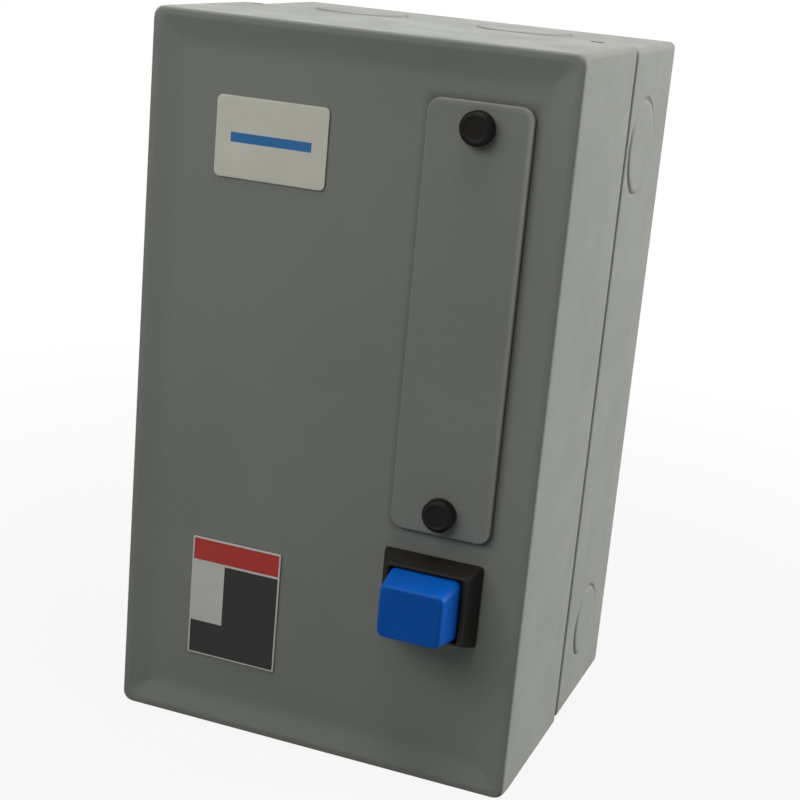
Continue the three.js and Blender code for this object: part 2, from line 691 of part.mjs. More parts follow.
function makeContactSpring(pole) {
  const windowFrontY = crossbarBackY - crossbarDepth + crossbarWindow[1];
  const limits = [windowFrontY + fitGap, bridgeBackY - bridgeThickness - fitGap];
  return coilSpring(3.5, 0.4, limits, 4, [poleX(pole), 0]);
}

// A fixed contact on a strip that lies on the terminal shelf; side is 1 above and -1 below.
function contactStrip(pole, side, endZ) {
  const x = poleX(pole);
  const limits = [-shelfDepth - fitGap - stripThickness, -shelfDepth - fitGap];
  const zs = [side * (contactZ - 4), side * endZ].sort((a, b) => a - b);
  const strip = block([x - stripWidth / 2, x + stripWidth / 2], limits, zs);
  const contact = rod("y", contactRadius, [fixedContactY, limits[0] + 0.5], [x, side * contactZ], 12);
  const through = [limits[0] - 1, limits[1] + 1];
  const hole = rod("y", screwHoleRadius, through, [x, side * terminalScrewZ], 12);
  return strip.add(contact).subtract(hole);
}

const terminalScrewZ = (chamberHalf + contactorHalf) / 2;

function makeArcChamber() {
  const half = deviceWidth / 2;
  const foot = [-shelfDepth, -contactorBaseDepth - fitGap];
  const body = slabY(roundRect(deviceWidth, 2 * contactorHalf, 2), foot, 2);
  const tower = block([-half, half], [-chamberDepth, -shelfDepth + 0.5], [-chamberHalf, chamberHalf]);
  const barriers = [-1, 1].flatMap((end) =>
    [-polePitch / 2, polePitch / 2].map((x) => {
      const zs = [end * (chamberHalf - 0.5), end * contactorHalf].sort((a, b) => a - b);
      return block([x - 1, x + 1], [-shelfDepth - 14, -shelfDepth + 0.5], zs);
    }),
  );
  const chambers = poles.map((pole) => {
    const room = polePitch / 2 - 1;
    const xs = [poleX(pole) - room, poleX(pole) + room];
    return block(xs, [-chamberDepth - 1, -shelfDepth], [-(chamberHalf - 3), chamberHalf - 3]);
  });
  const [armatureReach, armatureRise] = [coreHalfWidth + coilRoom, coreHalfStack + armatureRoomOver];
  const armatureDepths = [armatureFrontY - 2, -contactorBaseDepth];
  const armatureRoom = block([-armatureReach, armatureReach], armatureDepths, [-armatureRise, armatureRise]);
  const [reach, rise] = crossbarHalf.map((half) => half + 2 * runGap);
  const crossbarRoom = block([-reach, reach], [-chamberDepth - 1, -contactorBaseDepth], [-rise, rise]);
  const earRoom = block([-6, 6], [-shelfDepth - 1, -contactorBaseDepth], [-19.5, 19.5]);
  const stripHalf = stripWidth / 2 + fitGap;
  const stripSlots = poles.map((pole) => {
    const xs = [poleX(pole) - stripHalf, poleX(pole) + stripHalf];
    const depths = [-shelfDepth - stripThickness - 2 * fitGap, -shelfDepth];
    return block(xs, depths, [-chamberHalf - 1, chamberHalf + 1]);
  });
  const screwHoles = poles.flatMap((pole) =>
    [-1, 1].map((end) => {
      const at = [poleX(pole), end * terminalScrewZ];
      return rod("y", screwHoleRadius, [-shelfDepth - 1, -contactorBaseDepth - 5], at, 12);
    }),
  );
  const rooms = [...chambers, armatureRoom, crossbarRoom, earRoom, ...stripSlots, ...screwHoles];
  return cut(join([body, tower, ...barriers]), rooms);
}

function makeArcCover() {
  const half = deviceWidth / 2;
  const backY = -chamberDepth - fitGap;
  const plate = slabY(roundRect(deviceWidth, 2 * chamberHalf, 2), [backY - 3, backY], 2);
  const ribs = poles.map((pole) => {
    return block([poleX(pole) - 8, poleX(pole) + 8], [backY - 4.5, backY - 2], [14, 36]);
  });
  const nose = block([-half + 8, half - 8], [backY - 5.5, backY - 2], [-8, 8]);
  return join([plate, ...ribs, nose]);
}

const terminalScrewY = -shelfDepth - fitGap - stripThickness - fitGap;

function terminalScrew(pole, z) {
  return screwY([poleX(pole), z], terminalScrewY, terminalScrewRadius, 9, 3.8, 2.6);
}

// ---- auxiliary block and control wire ---------------------------------------------------------------------
const auxiliaryX = -(deviceWidth / 2 + fitGap + auxiliaryWidth);
const wireEntryZ = relayZ - contactorZ + 20; // where the wire enters the relay, from the contactor's middle
const wireY = -34;

function makeAuxiliaryBlock() {
  const xs = [auxiliaryX, auxiliaryX + auxiliaryWidth];
  const body = block(xs, [-auxiliaryDepth, -6], [-auxiliaryHalf, auxiliaryHalf]);
  const middle = auxiliaryX + auxiliaryWidth / 2;
  const pockets = [-1, 1].map((end) => {
    const zs = [end * (auxiliaryHalf - 10), end * (auxiliaryHalf + 1)].sort((a, b) => a - b);
    return block([middle - 4, middle + 4], [-auxiliaryDepth - 1, -auxiliaryDepth + 14], zs);
  });
  const entry = rod("z", wireRadius + fitGap, [-auxiliaryHalf - 1, -auxiliaryHalf + 6], [middle, wireY], 12);
  return cut(body, [...pockets, entry]);
}

function makeControlWire() {
  const middle = auxiliaryX + auxiliaryWidth / 2;
  const [x, z] = [-deviceWidth / 2 + 4, wireEntryZ];
  const bend = 6;
  const path = new THREE.CurvePath();
  const corner = new THREE.Vector3(middle, wireY, z);
  const down = new THREE.Vector3(middle, wireY, z + bend);
  const across = new THREE.Vector3(middle + bend, wireY, z);
  path.add(new THREE.LineCurve3(new THREE.Vector3(middle, wireY, -auxiliaryHalf + 5), down));
  path.add(new THREE.QuadraticBezierCurve3(down, corner, across));
  path.add(new THREE.LineCurve3(across, new THREE.Vector3(x, wireY, z)));
  return tube(path, wireRadius, 16, 8);
}

// ---- overload relay: y counts from its own back, z from its middle ---------------------------------
const relayScrewZ = -relayHalf + 7;
const heaterThickness = 1.5;
const heaterHalf = 3.5;
const roomWall = 1.5; // half the wall between two heater rooms
const fingerWidth = 1.5;
const fingerRoom = 1.1; // past the end of the trip bar's slide

function makeRelayBase() {
  const half = deviceWidth / 2;
  const body = slabY(roundRect(deviceWidth, 2 * relayHalf, 2), [-shelfDepth, 0], 2);
  const rooms = poles.map((pole) => {
    const room = polePitch / 2 - roomWall;
    const xs = [poleX(pole) - room, poleX(pole) + room];
    return block(xs, [-shelfDepth - 1, -8], [relayCoverBottom + 4, relayHalf - 6]);
  });
  const bottomSlots = poles.map((pole) => {
    const screwAt = [poleX(pole), relayScrewZ];
    return rod("y", screwHoleRadius, [-shelfDepth - 1, -shelfDepth + 12], screwAt, 12);
  });
  const wirePlace = [wireY, wireEntryZ + contactorZ - relayZ];
  const wireHole = rod("x", wireRadius + fitGap, [-half - 1, -half + 6], wirePlace, 12);
  return cut(body, [...rooms, ...bottomSlots, wireHole]);
}

// A heater: a bent strip that lies under the load strip, dips into its room and comes out to the terminal.
function makeHeater(pole) {
  const x = poleX(pole);
  const thick = heaterThickness;
  const [mouth, deep] = [-shelfDepth, -14];
  const [upper, lower] = [relayHalf - 18, relayCoverBottom + 8];
  const shelf = -shelfDepth - fitGap;
  const strip = outline([
    [mouth, relayHalf - 8],
    [mouth + thick, relayHalf - 8],
    [mouth + thick, upper + thick],
    [deep + thick, upper + thick],
    [deep + thick, lower - thick],
    [shelf, lower - thick],
    [shelf, -relayHalf + 1],
    [shelf - thick, -relayHalf + 1],
    [shelf - thick, lower],
    [deep, lower],
    [deep, upper],
    [mouth, upper],
  ]);
  const body = slabX(strip, [x - heaterHalf, x + heaterHalf]);
  return body.subtract(rod("y", screwHoleRadius, [shelf - thick - 1, shelf + 1], [x, relayScrewZ], 12));
}

const plungerPlace = [resetX - starterX, resetZ - relayZ];
const relayCoverBackY = -shelfDepth - fitGap;
const relayCoverWall = 3;
const relayWallY = -relayCoverDepth + relayCoverWall; // inner face of the relay cover's front

function makeRelayCover() {
  const height = relayHalf - relayCoverBottom;
  const middle = (relayHalf + relayCoverBottom) / 2;
  const shell = slabY(roundRect(deviceWidth, height, 2, 0, middle), [-relayCoverDepth, relayCoverBackY], 2);
  const inner = roundRect(deviceWidth - 2 * relayCoverWall, height - 2 * relayCoverWall, 1, 0, middle);
  const room = slabY(inner, [relayWallY, relayCoverBackY + 1], 1);
  const through = [-relayCoverDepth - 1, relayWallY + 1];
  const plungerHole = rod("y", plungerRadius + fitGap, through, plungerPlace);
  const dialHole = rod("y", dialRadius + fitGap, through, [dialX, dialZ], 20);
  const stripHalf = stripWidth / 2 + fitGap;
  const notchBack = [relayCoverBackY - stripThickness - fitGap, relayCoverBackY + 1];
  const notches = poles.map((pole) => {
    const xs = [poleX(pole) - stripHalf, poleX(pole) + stripHalf];
    return block(xs, notchBack, [relayCoverBottom - 1, relayHalf + 1]);
  });
  return cut(shell, [room, plungerHole, dialHole, ...notches]);
}

function makePlunger() {
  const collarY = relayWallY + fitGap;
  const profile = [
    [0, collarY + 16],
    [plungerRadius, collarY + 16],
    [plungerRadius, collarY + 2],
    [plungerRadius + 2, collarY + 2],
    [plungerRadius + 2, collarY],
    [plungerRadius, collarY],
    [plungerRadius, -relayCoverDepth - plungerOut + 1],
    [plungerRadius - 1, -relayCoverDepth - plungerOut],
    [0, -relayCoverDepth - plungerOut],
  ];
  return turned(profile, plungerPlace);
}

function makeDial() {
  const collarY = relayWallY + fitGap;
  const frontY = -relayCoverDepth - 1.5;
  const profile = [
    [0, collarY + 6],
    [3, collarY + 6],
    [3, collarY + 1.5],
    [dialRadius + 1.5, collarY + 1.5],
    [dialRadius + 1.5, collarY],
    [dialRadius, collarY],
    [dialRadius, frontY],
    [0, frontY],
  ];
  const slot = block([dialX - 1, dialX + 1], [frontY - 1, frontY + 1.5], [dialZ - dialRadius, dialZ + 4]);
  return turned(profile, [dialX, dialZ], 20).subtract(slot);
}

// The trip bar slides over the room walls, with a finger beside each heater.
function makeTripBar() {
  const backY = -shelfDepth - fitGap;
  const zs = [-14, -10];
  const inside = deviceWidth / 2 - relayCoverWall;
  const bar = block([2 - inside, inside - tripTravel - 1.5], [backY - 3, backY], zs);
  const fingers = poles.map((pole) => {
    const x = poleX(pole) + polePitch / 2 - roomWall - fingerRoom - tripTravel;
    return block([x - fingerWidth, x], [backY - 0.5, backY + 16], [-13, -11]);
  });
  return join([bar, ...fingers]);
}

// ---- assembly -------------------------------------------------------------------------------------------
function placeEnclosure() {
  place(starterBox, "base_box", makeBase(), paint);
  place(starterBox, "cover", makeCover(), paint);
  place(starterBox, "cover_screw", makeCoverScrew(), zincSteel);
  place(starterBox, "cover_screw_nut", makeCoverNut(), zincSteel);
  place(starterBox, "blank_plate", makeBlankPlate(), paint);
  place(starterBox, "plate_stud_upper", makeStud(studZs[0]), blackPlastic);
  place(starterBox, "plate_stud_lower", makeStud(studZs[1]), blackPlastic);
  place(starterBox, "rating_sticker", makeSticker(ratingSticker, 1), paper);
  place(starterBox, "notice_sticker", makeSticker(noticeSticker, -1), redPlastic);
  place(starterBox, "reset_bezel", makeBezel(), blackPlastic);
  place(starterBox, "reset_cage", makeCage(), blackPlastic);
  place(starterBox, "reset_button", makeButton(), bluePlastic);
  place(starterBox, "reset_spring", makeResetSpring(), zincSteel);
  place(starterBox, "mounting_plate", makeMountingPlate(), zincSteel);
  const seat = mountingPlateY[0] - fitGap;
  const screws = plateScrewPlaces.map((at) => screwY(at, seat, terminalScrewRadius, 5, 3.8, 2.6));
  place(starterBox, "plate_screw_upper", screws[0], zincSteel);
  place(starterBox, "plate_screw_lower", screws[1], zincSteel);
  const groundSeat = -(sheet + bossHeight + fitGap);
  const groundScrew = screwY(groundPlace, groundSeat, terminalScrewRadius, 4, 4.5, 3.2);
  place(starterBox, "ground_screw", groundScrew, greenZinc);
}

function placeContactor() {
  const contactor = groupAt(starterBox, starterX, starterY, contactorZ);
  place(contactor, "contactor_base", makeContactorBase(), darkMoulding);
  place(contactor, "magnet_core", eCore([coreBackY - coreBar, coreBackY], coreFrontY), laminations);
  place(contactor, "coil_bobbin", makeBobbin(), darkMoulding);
  place(contactor, "coil_winding", makeWinding(), windingWire);
  const armatureBar = [armatureFrontY, armatureFrontY + coreBar];
  place(contactor, "armature", eCore(armatureBar, armatureTipY), laminations);
  place(contactor, "crossbar", makeCrossbar(), blackPlastic);
  const springLimits = [crossbarBackY + fitGap, coilFrontY - fitGap];
  ["upper", "lower"].forEach((end, i) => {
    const z = returnSpringZ * (1 - 2 * i);
    place(contactor, "return_spring_" + end, coilSpring(3.4, 0.45, springLimits, 6, [0, z]), zincSteel);
  });
  place(contactor, "arc_chamber", makeArcChamber(), paleMoulding);
  place(contactor, "arc_cover", makeArcCover(), darkMoulding);
  const relayReach = contactorZ - relayZ - relayHalf + 11; // load strips end over the heaters
  poles.forEach((pole, i) => {
    const number = i + 1;
    place(contactor, "contact_bridge_" + number, makeBridge(pole), silverPlate);
    place(contactor, "contact_spring_" + number, makeContactSpring(pole), zincSteel);
    place(contactor, "line_terminal_" + number, contactStrip(pole, 1, contactorHalf - 1), silverPlate);
    place(contactor, "line_screw_" + number, terminalScrew(pole, terminalScrewZ), zincSteel);
    place(contactor, "load_strip_" + number, contactStrip(pole, -1, relayReach), copper);
    place(contactor, "strip_screw_" + number, terminalScrew(pole, -terminalScrewZ), zincSteel);
  });
  place(contactor, "auxiliary_block", makeAuxiliaryBlock(), paleMoulding);
  place(contactor, "control_wire", makeControlWire(), wireCover);
}

function placeRelay() {
  const relay = groupAt(starterBox, starterX, starterY, relayZ);
  place(relay, "relay_base", makeRelayBase(), darkMoulding);
  place(relay, "relay_cover", makeRelayCover(), paleMoulding);
  poles.forEach((pole, i) => {
    const number = i + 1;
    place(relay, "heater_" + number, makeHeater(pole), nickelAlloy);
    const seat = terminalScrewY + stripThickness - heaterThickness;
    const screw = screwY([poleX(pole), relayScrewZ], seat, terminalScrewRadius, 9, 3.8, 2.6);
    place(relay, "load_screw_" + number, screw, brass);
  });
  place(relay, "trip_bar", makeTripBar(), blackPlastic);
  place(relay, "reset_plunger", makePlunger(), redPlastic);
  place(relay, "trip_dial", makeDial(), paper);
}

placeEnclosure();
placeContactor();
placeRelay();

export default starterBox;
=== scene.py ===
import json
import math

import bmesh
import bpy
import numpy as np
from mathutils import Matrix, Vector

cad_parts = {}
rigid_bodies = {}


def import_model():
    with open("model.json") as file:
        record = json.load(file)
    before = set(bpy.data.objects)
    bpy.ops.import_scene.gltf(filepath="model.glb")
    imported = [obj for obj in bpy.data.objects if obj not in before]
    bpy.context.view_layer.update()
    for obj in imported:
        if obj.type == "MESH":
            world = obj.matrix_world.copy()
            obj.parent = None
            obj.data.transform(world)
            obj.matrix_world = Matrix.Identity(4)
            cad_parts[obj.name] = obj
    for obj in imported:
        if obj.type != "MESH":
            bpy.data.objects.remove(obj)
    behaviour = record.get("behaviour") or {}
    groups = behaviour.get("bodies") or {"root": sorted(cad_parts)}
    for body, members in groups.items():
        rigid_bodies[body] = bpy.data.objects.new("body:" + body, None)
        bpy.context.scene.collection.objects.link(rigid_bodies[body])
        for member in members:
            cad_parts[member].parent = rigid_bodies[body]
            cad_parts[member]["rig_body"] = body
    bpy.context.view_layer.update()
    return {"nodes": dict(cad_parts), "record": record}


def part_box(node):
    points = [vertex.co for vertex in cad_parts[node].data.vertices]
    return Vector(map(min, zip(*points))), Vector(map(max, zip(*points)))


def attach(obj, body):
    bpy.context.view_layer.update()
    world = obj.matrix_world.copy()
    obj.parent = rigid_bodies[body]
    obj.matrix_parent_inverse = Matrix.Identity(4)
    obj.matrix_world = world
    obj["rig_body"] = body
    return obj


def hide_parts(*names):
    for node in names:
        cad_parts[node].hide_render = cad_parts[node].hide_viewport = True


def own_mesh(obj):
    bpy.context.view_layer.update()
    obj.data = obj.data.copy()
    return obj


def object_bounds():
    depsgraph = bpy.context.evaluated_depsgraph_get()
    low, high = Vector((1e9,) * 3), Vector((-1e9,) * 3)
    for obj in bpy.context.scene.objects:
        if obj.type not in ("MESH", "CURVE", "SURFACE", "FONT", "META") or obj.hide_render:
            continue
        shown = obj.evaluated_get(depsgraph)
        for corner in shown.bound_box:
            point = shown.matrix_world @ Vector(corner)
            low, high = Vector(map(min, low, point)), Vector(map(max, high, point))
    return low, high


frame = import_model()
nodes = frame["nodes"]
mm = 0.001
print("frame loaded:", len(nodes), "nodes")


# Corners of a box round a CAD node, and its middle, in millimetres.
def boxOf(node):
    low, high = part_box(node)
    return np.array(low) / mm, np.array(high) / mm


def middleOf(node):
    low, high = boxOf(node)
    return (low + high) / 2


# The same corners, then half the size, then the middle.
def sizesOf(node):
    low, high = boxOf(node)
    return low, high, (high - low) / 2, (low + high) / 2


# A new object in the scene, at the origin.
def addObject(name, data):
    thing = bpy.data.objects.new(name, data)
    bpy.context.scene.collection.objects.link(thing)
    return thing


# A grid of points becomes quads. Rows or columns may close on themselves, and keep leaves cells out.
def gridPart(points, closeRows=False, closeCols=False, keep=None):
    points = np.asarray(points, float)
    index = np.arange(points.shape[0] * points.shape[1]).reshape(points.shape[:2])
    if closeRows:
        index = np.vstack([index, index[:1]])
    if closeCols:
        index = np.hstack([index, index[:, :1]])
    quads = np.stack([index[:-1, :-1], index[:-1, 1:], index[1:, 1:], index[1:, :-1]], -1)
    return points.reshape(-1, 3), quads[keep] if keep is not None else quads.reshape(-1, 4)


# One flat face through a loop of points.
def capPart(loop):
    return np.asarray(loop), np.arange(len(loop))[None]


# Every inner corner of a line of points becomes a parabola that starts and ends a given distance away.
def softened(points, soft, steps=4):
    points = np.asarray(points, float)
    soft = np.broadcast_to(soft, len(points) - 2)
    t = np.linspace(0, 1, steps + 1)[:, None]
    line = [points[:1]]
    for before, corner, after, reach in zip(points, points[1:], points[2:], soft):
        start = corner + (before - corner) * min(reach / np.linalg.norm(before - corner), 0.5)
        end = corner + (after - corner) * min(reach / np.linalg.norm(after - corner), 0.5)
        line.append((1 - t) ** 2 * start + 2 * t * (1 - t) * corner + t ** 2 * end)
    return np.vstack(line + [points[-1:]])


# Places that include the stops and lie at most a step apart.
def linesBetween(stops, step):
    runs = [np.linspace(a, b, math.ceil((b - a) / step - 1e-6), endpoint=False)
            for a, b in zip(stops, stops[1:])]
    return np.concatenate(runs + [stops[-1:]])


# The same from -half to half, with marks on the way.
def linesThrough(half, marks, step):
    return linesBetween(sorted({-half, half, *marks}), step)


# The plan of a rounded rectangle: for each point, its share of the way along the sides and its outward
# direction. A ring at [half width, half height, corner radius] is then
# share * (half - radius) + direction * radius.
def loopPlan(alongU, alongV, corner=5):
    a, b = np.asarray(alongU, float), np.asarray(alongV, float)
    sides = [(1 + 0 * b, b, 0), (a[::-1], 1 + 0 * a, 90), (-1 + 0 * b, b[::-1], 180), (a, -1 + 0 * a, 270)]
    rows, starts = [], []
    for shareU, shareV, angle in sides:
        starts.append(sum(r.shape[1] for r in rows))
        rows.append(np.stack([shareU, shareV, 0 * shareU + angle]))
        turns = angle + np.linspace(0, 90, corner + 1)[1:-1]
        rows.append(np.stack([0 * turns + shareU[-1], 0 * turns + shareV[-1], turns]))
    shareU, shareV, angle = np.hstack(rows)
    angle = np.radians(angle)
    return {"share": (shareU, shareV), "out": (np.cos(angle), np.sin(angle)), "starts": starts}


plainPlan = loopPlan([-1, 0, 1], [-1, 0, 1], 6)


# Rings of [half width, half height, corner radius, y] round a middle. Only its X and Z count, here and below.
def ringSurface(rings, middle, plan=plainPlan):
    halfU, halfV, radius, depth = np.asarray(rings, float).T[:, :, None]
    u = plan["share"][0] * (halfU - radius) + plan["out"][0] * radius + middle[0]
    v = plan["share"][1] * (halfV - radius) + plan["out"][1] * radius + middle[-1]
    return np.stack([u, depth + 0 * u, v], -1)


# A run of loops, closed by a flat face at each end.
def cappedParts(loops):
    return [gridPart(loops, closeCols=True), capPart(loops[0]), capPart(loops[-1])]


def ringSolid(rings, middle, plan=plainPlan):
    return cappedParts(ringSurface(rings, middle, plan))


# A profile of [radius, y] turned about the Y axis through a middle. It starts and ends on the axis.
def turnedPart(profile, middle, sides=32):
    radius, depth = np.asarray(profile, float).T[:, :, None]
    angle = np.arange(sides) * 2 * math.pi / sides
    x, z = radius * np.cos(angle) + middle[0], radius * np.sin(angle) + middle[-1]
    return gridPart(np.stack([x, depth + 0 * angle, z], -1), closeCols=True)


# A round section carried along a path: centre + radius * (cos a * side + sin a * up), with flat ends.
def tubeParts(path, radius, sides=12, up=(0, 0, 1)):
    path = np.asarray(path, float)
    along = np.gradient(path, axis=0)
    along /= np.linalg.norm(along, axis=1)[:, None]
    side = np.cross(along, up)
    side /= np.linalg.norm(side, axis=1)[:, None]
    above = np.cross(side, along)
    angle = np.arange(sides) * 2 * math.pi / sides
    around = np.cos(angle)[:, None] * side[:, None] + np.sin(angle)[:, None] * above[:, None]
    return cappedParts(path[:, None] + radius * around)


# An outline in the YZ plane, drawn out between two places on X.
def extrudedParts(outline, x0, x1):
    return cappedParts(np.array([[(x, y, z) for y, z in outline] for x in (x0, x1)], float))


# The points round a block of a grid's cells, in order.
def borderOf(points, cells):
    r0, r1, c0, c1 = cells
    return np.concatenate([points[r0, c0:c1], points[r0:r1, c1], points[r1, c1:c0:-1], points[r1:r0:-1, c0]])


# Rings inside a border: middle + direction * radius + normal * lift. The first ring is joined to the border
# by faces with extra corners, so a small hole can be rounder than the grid round it.
def dimpleParts(edge, middle, normal, radii, lifts, finer=1, hole=False):
    step = np.arange(len(edge) * finer) / finer
    low = np.floor(step).astype(int)
    dense = edge[low] + (edge[(low + 1) % len(edge)] - edge[low]) * (step - low)[:, None]
    away = dense - middle
    away /= np.linalg.norm(away, axis=1)[:, None]
    heights = [(lift(away) if callable(lift) else lift) * np.ones(len(away)) for lift in lifts]
    rings = np.array([middle + away * r + np.outer(height, normal) for r, height in zip(radii, heights)])
    count, inner = len(edge), len(dense)
    j = np.arange(count)
    fan = [j] + [count + (j * finer + k) % inner for k in range(finer + 1)] + [(j + 1) % count]
    parts = [(np.vstack([edge, rings[0]]), np.stack(fan, -1)), gridPart(rings, closeCols=True)]
    if not hole:
        last = rings[-1]
        fanFaces = np.stack([np.arange(inner), (np.arange(inner) + 1) % inner, np.full(inner, inner)], -1)
        parts.append((np.vstack([last, last.mean(0)[None]]), fanFaces))
    return parts, rings[-1]


# Two sheets a wall apart. Gaps and notches are cut through both, dimples press both, and holes join them.
def skinParts(outer, inner, closeCols, edges=True, gaps=(), notches=(), dimples=()):
    shape = (outer.shape[0] - 1, outer.shape[1] - (0 if closeCols else 1))
    keep = np.ones(shape, bool)
    lip = np.ones((1, shape[1]), bool)
    parts = []
    for r0, r1, c0, c1 in gaps:
        keep[r0:r1, c0:c1] = False
        borders = [borderOf(sheet, (r0, r1, c0, c1)) for sheet in (outer, inner)]
        parts.append(gridPart(np.stack(borders), closeCols=True))
    for r1, c0, c1 in notches:
        keep[:r1, c0:c1] = False
        lip[:, c0:c1] = False
        walls = [np.concatenate([s[:r1 + 1, c0], s[r1, c0 + 1:c1 + 1], s[r1 - 1::-1, c1]])
                 for s in (outer, inner)]
        parts.append(gridPart(np.stack(walls)))
    for d in dimples:
        r0, r1, c0, c1 = d["cells"]
        keep[r0:r1, c0:c1] = False
        last = []
        for sheet, side in ((outer, 1), (inner, -1)):
            edge = borderOf(sheet, d["cells"])
            level = np.dot(edge.mean(0) - d["middle"], d["normal"]) * np.array(d["normal"])
            lifts = d["lifts"] if side > 0 else d.get("innerLifts", d["lifts"])
            more, ring = dimpleParts(edge, d["middle"] + level, d["normal"], d["radii"], lifts,
                                     d.get("finer", 1), d.get("hole", False))
            parts += more
            last.append(ring)
        if d.get("hole"):
            parts.append(gridPart(np.stack(last), closeCols=True))
    parts += [gridPart(outer, closeCols=closeCols, keep=keep), gridPart(inner, closeCols=closeCols, keep=keep)]
    if edges:
        parts.append(gridPart(np.stack([outer[0], inner[0]]), closeCols=closeCols, keep=lip))
    return parts


# Cells of a grid between two places on its row lines and two on its column lines.
def cellsBetween(rowLines, rows, colLines, cols, colStart=0):
    r = sorted(int(np.argmin(abs(np.asarray(rowLines) - v))) for v in rows)
    c = sorted(int(np.argmin(abs(np.asarray(colLines) - v))) for v in cols)
    return r[0], r[1], colStart + c[0], colStart + c[1]


# A node's name in camel case.
def camelName(node):
    first, *rest = node.split("_")
    return first + "".join(word.title() for word in rest)


# Points closer than merge, in metres, become one. Angles are in degrees.
meshing = {"merge": 2e-6, "flat": 1, "bevelAngle": 40, "bevelSegments": 2}


# Puts parts together as one mesh object in metres, on a body, in place of CAD nodes.
def makePiece(name, parts, body, replaced, finish, sharp=35):
    points = np.vstack([p for p, _ in parts])
    faces, count = [], 0
    for part, cells in parts:
        faces += (np.asarray(cells) + count).tolist()
        count += len(part)
    mesh = bpy.data.meshes.new(name)
    mesh.from_pydata((points * mm).tolist(), [], faces)
    return finishPiece(name, mesh, body, replaced, finish, sharp)


def finishPiece(name, mesh, body, replaced, finish, sharp, bevel=None):
    work = bmesh.new()
    work.from_mesh(mesh)
    bmesh.ops.remove_doubles(work, verts=work.verts, dist=meshing["merge"])
    bmesh.ops.dissolve_degenerate(work, edges=work.edges, dist=1e-7)
    if bevel:
        bmesh.ops.dissolve_limit(work, angle_limit=math.radians(meshing["flat"]), verts=work.verts,
                                 edges=work.edges)
    bmesh.ops.recalc_face_normals(work, faces=work.faces)
    work.to_mesh(mesh)
    work.free()
    mesh.polygons.foreach_set("use_smooth", np.ones(len(mesh.polygons), bool))
    mesh.set_sharp_from_angle(angle=math.radians(sharp))
    mesh.materials.clear()
    mesh.materials.append(finish)
    piece = addObject(name, mesh)
    if bevel:
        edge = piece.modifiers.new("soft edges", "BEVEL")
        edge.width = bevel * mm
        edge.segments = meshing["bevelSegments"]
        edge.limit_method = "ANGLE"
        edge.angle_limit = math.radians(meshing["bevelAngle"])
        edge.use_clamp_overlap = True
        edge.harden_normals = True
    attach(piece, body)
    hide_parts(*replaced)
    return piece


# A copy of a CAD node with its triangles merged and its edges softened.
def softCopy(node, name, finish, bevel):
    mesh = nodes[node].data.copy()
    return finishPiece(name, mesh, nodes[node]["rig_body"], [node], finish, 40, bevel)


def addNode(tree, kind, wires=None, **settings):
    node = tree.nodes.new("ShaderNode" + kind)
    for name, value in settings.items():
        setattr(node, name, value)
    for name, value in (wires or {}).items():
        if isinstance(value, bpy.types.NodeSocket):
            tree.links.new(value, node.inputs[name])
        else:
            node.inputs[name].default_value = value
    return node


def calculate(tree, operation, *values):
    return addNode(tree, "Math", dict(enumerate(values)), operation=operation).outputs[0]


def noise(tree, where, scale, detail):
    return addNode(tree, "TexNoise", {"Vector": where, "Scale": scale, "Detail": detail}).outputs["Fac"]


# A value carried over from one range to another.
def remap(tree, value, start, end, low=0.0, high=1.0, **settings):
    wires = {"Value": value, "From Min": start, "From Max": end, "To Min": low, "To Max": high}
    return addNode(tree, "MapRange", wires, **settings).outputs[0]


# One colour or value passing into another. Each kind has its own pair of inputs and its own output.
def blend(tree, share, one, other, kind="RGBA"):
    first, out = (6, 2) if kind == "RGBA" else (2, 0)
    return addNode(tree, "Mix", {0: share, first: one, first + 1: other}, data_type=kind).outputs[out]


def srgb(red, green, blue):
    def line(v):
        return v / 12.92 if v <= 0.04045 else ((v + 0.055) / 1.055) ** 2.4
    return (line(red / 255), line(green / 255), line(blue / 255), 1)


# A group with one output. An input is a colour, a value or, without a default, a vector.
def newGroup(name, inputs, output, kind="Float"):
    tree = bpy.data.node_groups.new(name, "ShaderNodeTree")
    for label, default in inputs.items():
        sort = {tuple: "Color", float: "Float"}.get(type(default), "Vector")
        socket = tree.interface.new_socket(label, in_out="INPUT", socket_type="NodeSocket" + sort)
        if default is not None:
            socket.default_value = default
    tree.interface.new_socket(output, in_out="OUTPUT", socket_type="NodeSocket" + kind)
    return tree, tree.nodes.new("NodeGroupInput").outputs, tree.nodes.new("NodeGroupOutput").inputs[output]


def useGroup(tree, group, wires):
    return addNode(tree, "Group", wires, node_tree=group).outputs[0]


# Height of a grained skin: fine grains over a slower ripple.
def makeGrainGroup():
    tree, given, made = newGroup("skinGrain", {"Vector": None, "Grain": 900.0, "Ripple": 90.0,
                                               "Ripple share": 0.4}, "Height")
    fine = noise(tree, given["Vector"], given["Grain"], 2.0)
    slow = noise(tree, given["Vector"], given["Ripple"], 1.0)
    tree.links.new(blend(tree, given["Ripple share"], fine, slow, "FLOAT"), made)
    return tree


# Colour that drifts between two tones in soft patches, with a speckle of its own.
def makeTintGroup():
    tree, given, made = newGroup("patchyTint", {"Vector": None, "Color": (1, 1, 1, 1), "Other": (0, 0, 0, 1),
                                                "Patches": 20.0, "Speckle": 900.0, "Amount": 0.5},
                                 "Color", "Color")
    patch = noise(tree, given["Vector"], given["Patches"], 4.0)
    speck = noise(tree, given["Vector"], given["Speckle"], 1.0)
    share = remap(tree, blend(tree, 0.35, patch, speck, "FLOAT"), 0.35, 0.65, 0.0, given["Amount"])
    tree.links.new(blend(tree, share, given["Color"], given["Other"]), made)
    return tree


